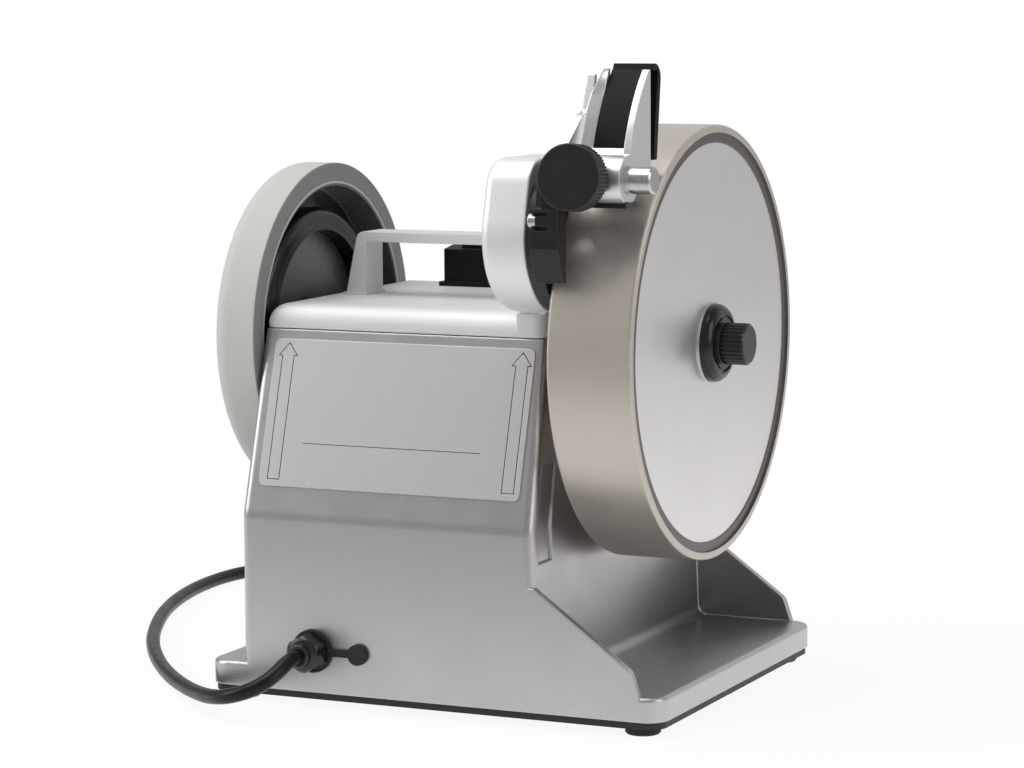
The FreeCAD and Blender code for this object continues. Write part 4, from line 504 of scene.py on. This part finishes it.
# Honing wheel. A tread of off-white compound, cut grey on its inner side, on a glossy black
# moulded wheel with a rubber friction tyre inside and a dull pressed plate over its hub.
cut_depth, edge_inner, edge_outer, rim_inner, rim_outer = 0.0004, 0.0680, 0.0705, 0.0672, 0.0720
compound = new_finish("honing_compound", (0.58, 0.575, 0.555), 0.7)
compound_grain = grain(compound, 1500.0)
compound_colour = tint(compound, compound_grain, (0.56, 0.555, 0.535), (0.60, 0.595, 0.575))
cut_side = beyond_share(compound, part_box("honing_tread")[1][0] - cut_depth)
cut_colour = mix_colours(compound, cut_side, compound_colour, (0.28, 0.272, 0.268))
inner_edge = reckon(compound, "MULTIPLY", cut_side, ring_share(compound, edge_inner, edge_outer))
mix_colours(compound, inner_edge, cut_colour, (0.62, 0.61, 0.60))
sheen(compound, compound_grain, 0.68, 0.85)
relief(compound, grain(compound, 5200.0), 0.00004, 0.0012)
dress(compound, "honing_tread")

wheel_black = new_finish("wheel_black", (0.008, 0.0075, 0.008), 0.24)
wheel_grain = grain(wheel_black, 420.0)
wheel_colour = tint(wheel_black, wheel_grain, (0.006, 0.0055, 0.006), (0.011, 0.0105, 0.011))
mix_colours(wheel_black, ring_share(wheel_black, rim_inner, rim_outer), wheel_colour, (0.13, 0.125, 0.122))
sheen(wheel_black, wheel_grain, 0.20, 0.28)
relief(wheel_black, wheel_grain, 0.000003, 0.0008)
dress(wheel_black, "drive_wheel")

tyre_rubber = new_finish("tyre_rubber", (0.008, 0.0075, 0.008), 0.19)
tyre_grain = grain(tyre_rubber, 300.0)
tint(tyre_rubber, tyre_grain, (0.006, 0.0055, 0.006), (0.010, 0.0095, 0.010))
sheen(tyre_rubber, tyre_grain, 0.16, 0.22)
relief(tyre_rubber, tyre_grain, 0.000004, 0.001)
dress(tyre_rubber, "drive_tyre")

pressed_plate = new_finish("pressed_plate", (0.20, 0.19, 0.187), 0.36, 0.7)
pressed_cloud = grain(pressed_plate, 240.0)
tint(pressed_plate, pressed_cloud, (0.18, 0.17, 0.167), (0.22, 0.21, 0.206))
sheen(pressed_plate, pressed_cloud, 0.31, 0.41)
relief(pressed_plate, grain(pressed_plate, 2800.0), 0.00001, 0.0006)
dress(pressed_plate, "hub_plate")

# Motor. Stacked iron, copper windings and die cast bells, all inside the housing, with a fan
# and capacitor in dark plastic.
iron = new_finish("stacked_iron", (0.10, 0.10, 0.105), 0.5, 0.9)
sheets = grain(iron, 2000.0, (1.0, 0.02, 0.02))
tint(iron, sheets, (0.07, 0.07, 0.075), (0.14, 0.14, 0.145))
sheen(iron, sheets, 0.40, 0.62)
relief(iron, sheets, 0.00006, 0.0003)
dress(iron, "motor_stator", "rotor_core")

bell_alloy = new_finish("bell_alloy", (0.42, 0.42, 0.42), 0.5, 0.9)
bell_cloud = grain(bell_alloy, 800.0)
tint(bell_alloy, bell_cloud, (0.36, 0.36, 0.36), (0.47, 0.47, 0.47))
sheen(bell_alloy, bell_cloud, 0.42, 0.58)
relief(bell_alloy, grain(bell_alloy, 2600.0), 0.00004, 0.0006)
dress(bell_alloy, "motor_bell_left", "motor_bell_right", "motor_bracket")

copper = new_finish("wound_copper", (0.42, 0.16, 0.07), 0.3, 1.0)
wires = grain(copper, 1400.0, (0.12, 1.0, 1.0))
tint(copper, wires, (0.30, 0.10, 0.04), (0.52, 0.22, 0.10))
sheen(copper, wires, 0.22, 0.40)
relief(copper, wires, 0.0002)
dress(copper, "motor_windings")

dark_plastic = new_finish("dark_plastic", (0.03, 0.03, 0.032), 0.5)
dark_grain = grain(dark_plastic, 1200.0)
tint(dark_plastic, dark_grain, (0.022, 0.022, 0.024), (0.040, 0.040, 0.042))
sheen(dark_plastic, dark_grain, 0.42, 0.58)
relief(dark_plastic, grain(dark_plastic, 4200.0), 0.00003, 0.0005)
dress(dark_plastic, "cooling_fan", "capacitor")

# Blade guide. A bead-blasted casting with two prongs, carrying a rubber band that the blade
# leans on.
blasted = new_finish("blasted_alloy", (0.79, 0.785, 0.785), 0.33, 0.85)
beads = grain(blasted, 3200.0)
blasted_colour = tint(blasted, beads, (0.775, 0.77, 0.77), (0.805, 0.80, 0.80))
# Edges painted lighter: part wear, part painted highlight.
wear_and_edge_highlight(blasted, blasted_colour, (0.92, 0.92, 0.92), 0.0008, 4.0)
sheen(blasted, beads, 0.29, 0.36)
relief(blasted, beads, 0.000005, 0.0008)
dress(blasted, "blade_guide")

band_rubber = new_finish("band_rubber", (0.006, 0.0055, 0.0062), 0.6)
shader_of(band_rubber).inputs["Specular IOR Level"].default_value = 0.18
band_grain = grain(band_rubber, 1100.0)
tint(band_rubber, band_grain, (0.0045, 0.004, 0.0047), (0.009, 0.0085, 0.0092))
sheen(band_rubber, band_grain, 0.50, 0.66)
relief(band_rubber, grain(band_rubber, 4600.0), 0.00003, 0.0006)
dress(band_rubber, "guide_band")

# Cable gland. A glossy black nylon nut and dome clamp the lead where it leaves the housing,
# with a lock nut inside.
nylon = new_finish("gland_nylon", (0.014, 0.0135, 0.0145), 0.2)
nylon_cloud = grain(nylon, 500.0)
tint(nylon, nylon_cloud, (0.011, 0.0105, 0.0115), (0.020, 0.0195, 0.0205))
sheen(nylon, nylon_cloud, 0.18, 0.28)
relief(nylon, grain(nylon, 2400.0), 0.000015, 0.0006)
dress(nylon, "cable_gland", "gland_locknut")

# Studio. A white floor that sweeps up behind the sharpener and keeps only a faint shadow near
# it, white surroundings, and three large soft lamps. In reflections the floor is dimmer in
# front and far off, so that the metal shows some darks.
sweep_front, sweep_depth, sweep_width, sweep_r, sweep_top = 3.5, 3.2, 9.0, 1.2, 4.0
sweep_mesh = bmesh.new()
floor_line = [sweep_mesh.verts.new((-sweep_width / 2, end, 0.0)) for end in (-sweep_front, sweep_depth)]
sweep_mesh.edges.new(floor_line)
bend_up = bmesh.ops.spin(sweep_mesh, geom=[floor_line[1]], cent=(0.0, sweep_depth, sweep_r),
                         axis=(1.0, 0.0, 0.0), angle=math.pi / 2, steps=24, use_merge=False)
top_end = [v for v in bend_up["geom_last"] if isinstance(v, bmesh.types.BMVert)]
wall_up = bmesh.ops.extrude_vert_indiv(sweep_mesh, verts=top_end)
bmesh.ops.translate(sweep_mesh, verts=wall_up["verts"], vec=(0.0, 0.0, sweep_top))
across = bmesh.ops.extrude_edge_only(sweep_mesh, edges=sweep_mesh.edges[:])
bmesh.ops.translate(sweep_mesh, verts=[v for v in across["geom"] if isinstance(v, bmesh.types.BMVert)],
                    vec=(sweep_width, 0.0, 0.0))
bmesh.ops.recalc_face_normals(sweep_mesh, faces=sweep_mesh.faces[:])
floor_paint = new_finish("floor_paint", (0.86, 0.86, 0.86), 0.9)
floor = place_mesh("studio_floor", sweep_mesh, floor_paint)
for face in floor.data.polygons:
    face.use_smooth = True

floor_place = add_node(floor_paint, "ShaderNodeTexCoord")
floor_reach = vector_sum(floor_paint, "LENGTH", floor_place.outputs["Object"]).outputs["Value"]
floor_axes = add_node(floor_paint, "ShaderNodeSeparateXYZ")
join(floor_paint, floor_place.outputs["Object"], floor_axes.inputs["Vector"])
ray = add_node(floor_paint, "ShaderNodeLightPath")
ray_seen = reckon(floor_paint, "ADD", ray.outputs["Is Camera Ray"], ray.outputs["Is Glossy Ray"])
ray_seen = reckon(floor_paint, "ADD", ray_seen, ray.outputs["Is Transmission Ray"])
shadow_r, white_r, shadow_level = 0.30, 0.55, 0.92
fade_start, fade_end, fade_level = 0.6, 1.9, 0.45
front_far, front_near, front_level = -0.75, -0.2, 0.42
wall_low, wall_high, wall_level = 0.1, 0.4, 0.65
plain_white = ranged(floor_paint, floor_reach, shadow_r, white_r, shadow_level, 1.0)
fading = ranged(floor_paint, floor_reach, fade_start, fade_end, 1.0, fade_level)
nearer = ranged(floor_paint, floor_axes.outputs["Y"], front_far, front_near, front_level, 1.0)
wall = ranged(floor_paint, floor_axes.outputs["Z"], wall_low, wall_high, 0.0, wall_level)
mirrored = reckon(floor_paint, "MULTIPLY", fading, nearer)
mirrored = reckon(floor_paint, "MAXIMUM", mirrored, wall)
glow = add_node(floor_paint, "ShaderNodeEmission", Color=(1.0, 1.0, 1.0, 1.0))
glow_level = reckon(floor_paint, "MAXIMUM", ray.outputs["Is Camera Ray"], mirrored)
join(floor_paint, glow_level, glow.inputs["Strength"])
floor_mix = floor_paint.node_tree.nodes.new("ShaderNodeMixShader")
join(floor_paint, reckon(floor_paint, "MULTIPLY", ray_seen, plain_white), floor_mix.inputs[0])
join(floor_paint, shader_of(floor_paint).outputs["BSDF"], floor_mix.inputs[1])
join(floor_paint, glow.outputs["Emission"], floor_mix.inputs[2])
floor_output = floor_paint.node_tree.nodes["Material Output"]
join(floor_paint, floor_mix.outputs["Shader"], floor_output.inputs["Surface"])


def lamp(name, place, aim, width, height, power):
    light = bpy.data.lights.new(name, "AREA")
    light.shape = "RECTANGLE"
    light.size, light.size_y, light.energy = width, height, power
    hung = bpy.data.objects.new(name, light)
    hung.location = place
    hung.rotation_euler = (Vector(place) - Vector(aim)).to_track_quat("Z", "Y").to_euler()
    bpy.context.collection.objects.link(hung)


lamp("top_lamp", (-0.6, -0.3, 2.2), (0.0, 0.0, 0.1), 1.7, 1.7, 28.0)
lamp("left_lamp", (-2.3, -1.1, 1.3), (0.0, 0.0, 0.15), 1.6, 1.8, 26.0)
lamp("right_lamp", (2.4, -0.3, 1.2), (0.0, 0.0, 0.15), 1.4, 1.8, 14.0)
surround = bpy.data.worlds.new("surround")
surround.use_nodes = True
sky = surround.node_tree.nodes["Background"]
sky.inputs["Color"].default_value = (1.0, 1.0, 1.0, 1.0)
sky_ray = add_node(surround, "ShaderNodeLightPath")
sky_level = 0.34
sky_strength = ranged(surround, sky_ray.outputs["Is Camera Ray"], 0.0, 1.0, sky_level, 1.0)
join(surround, sky_strength, sky.inputs["Strength"])
bpy.context.scene.world = surround
bpy.context.scene.view_settings.view_transform = "Standard"
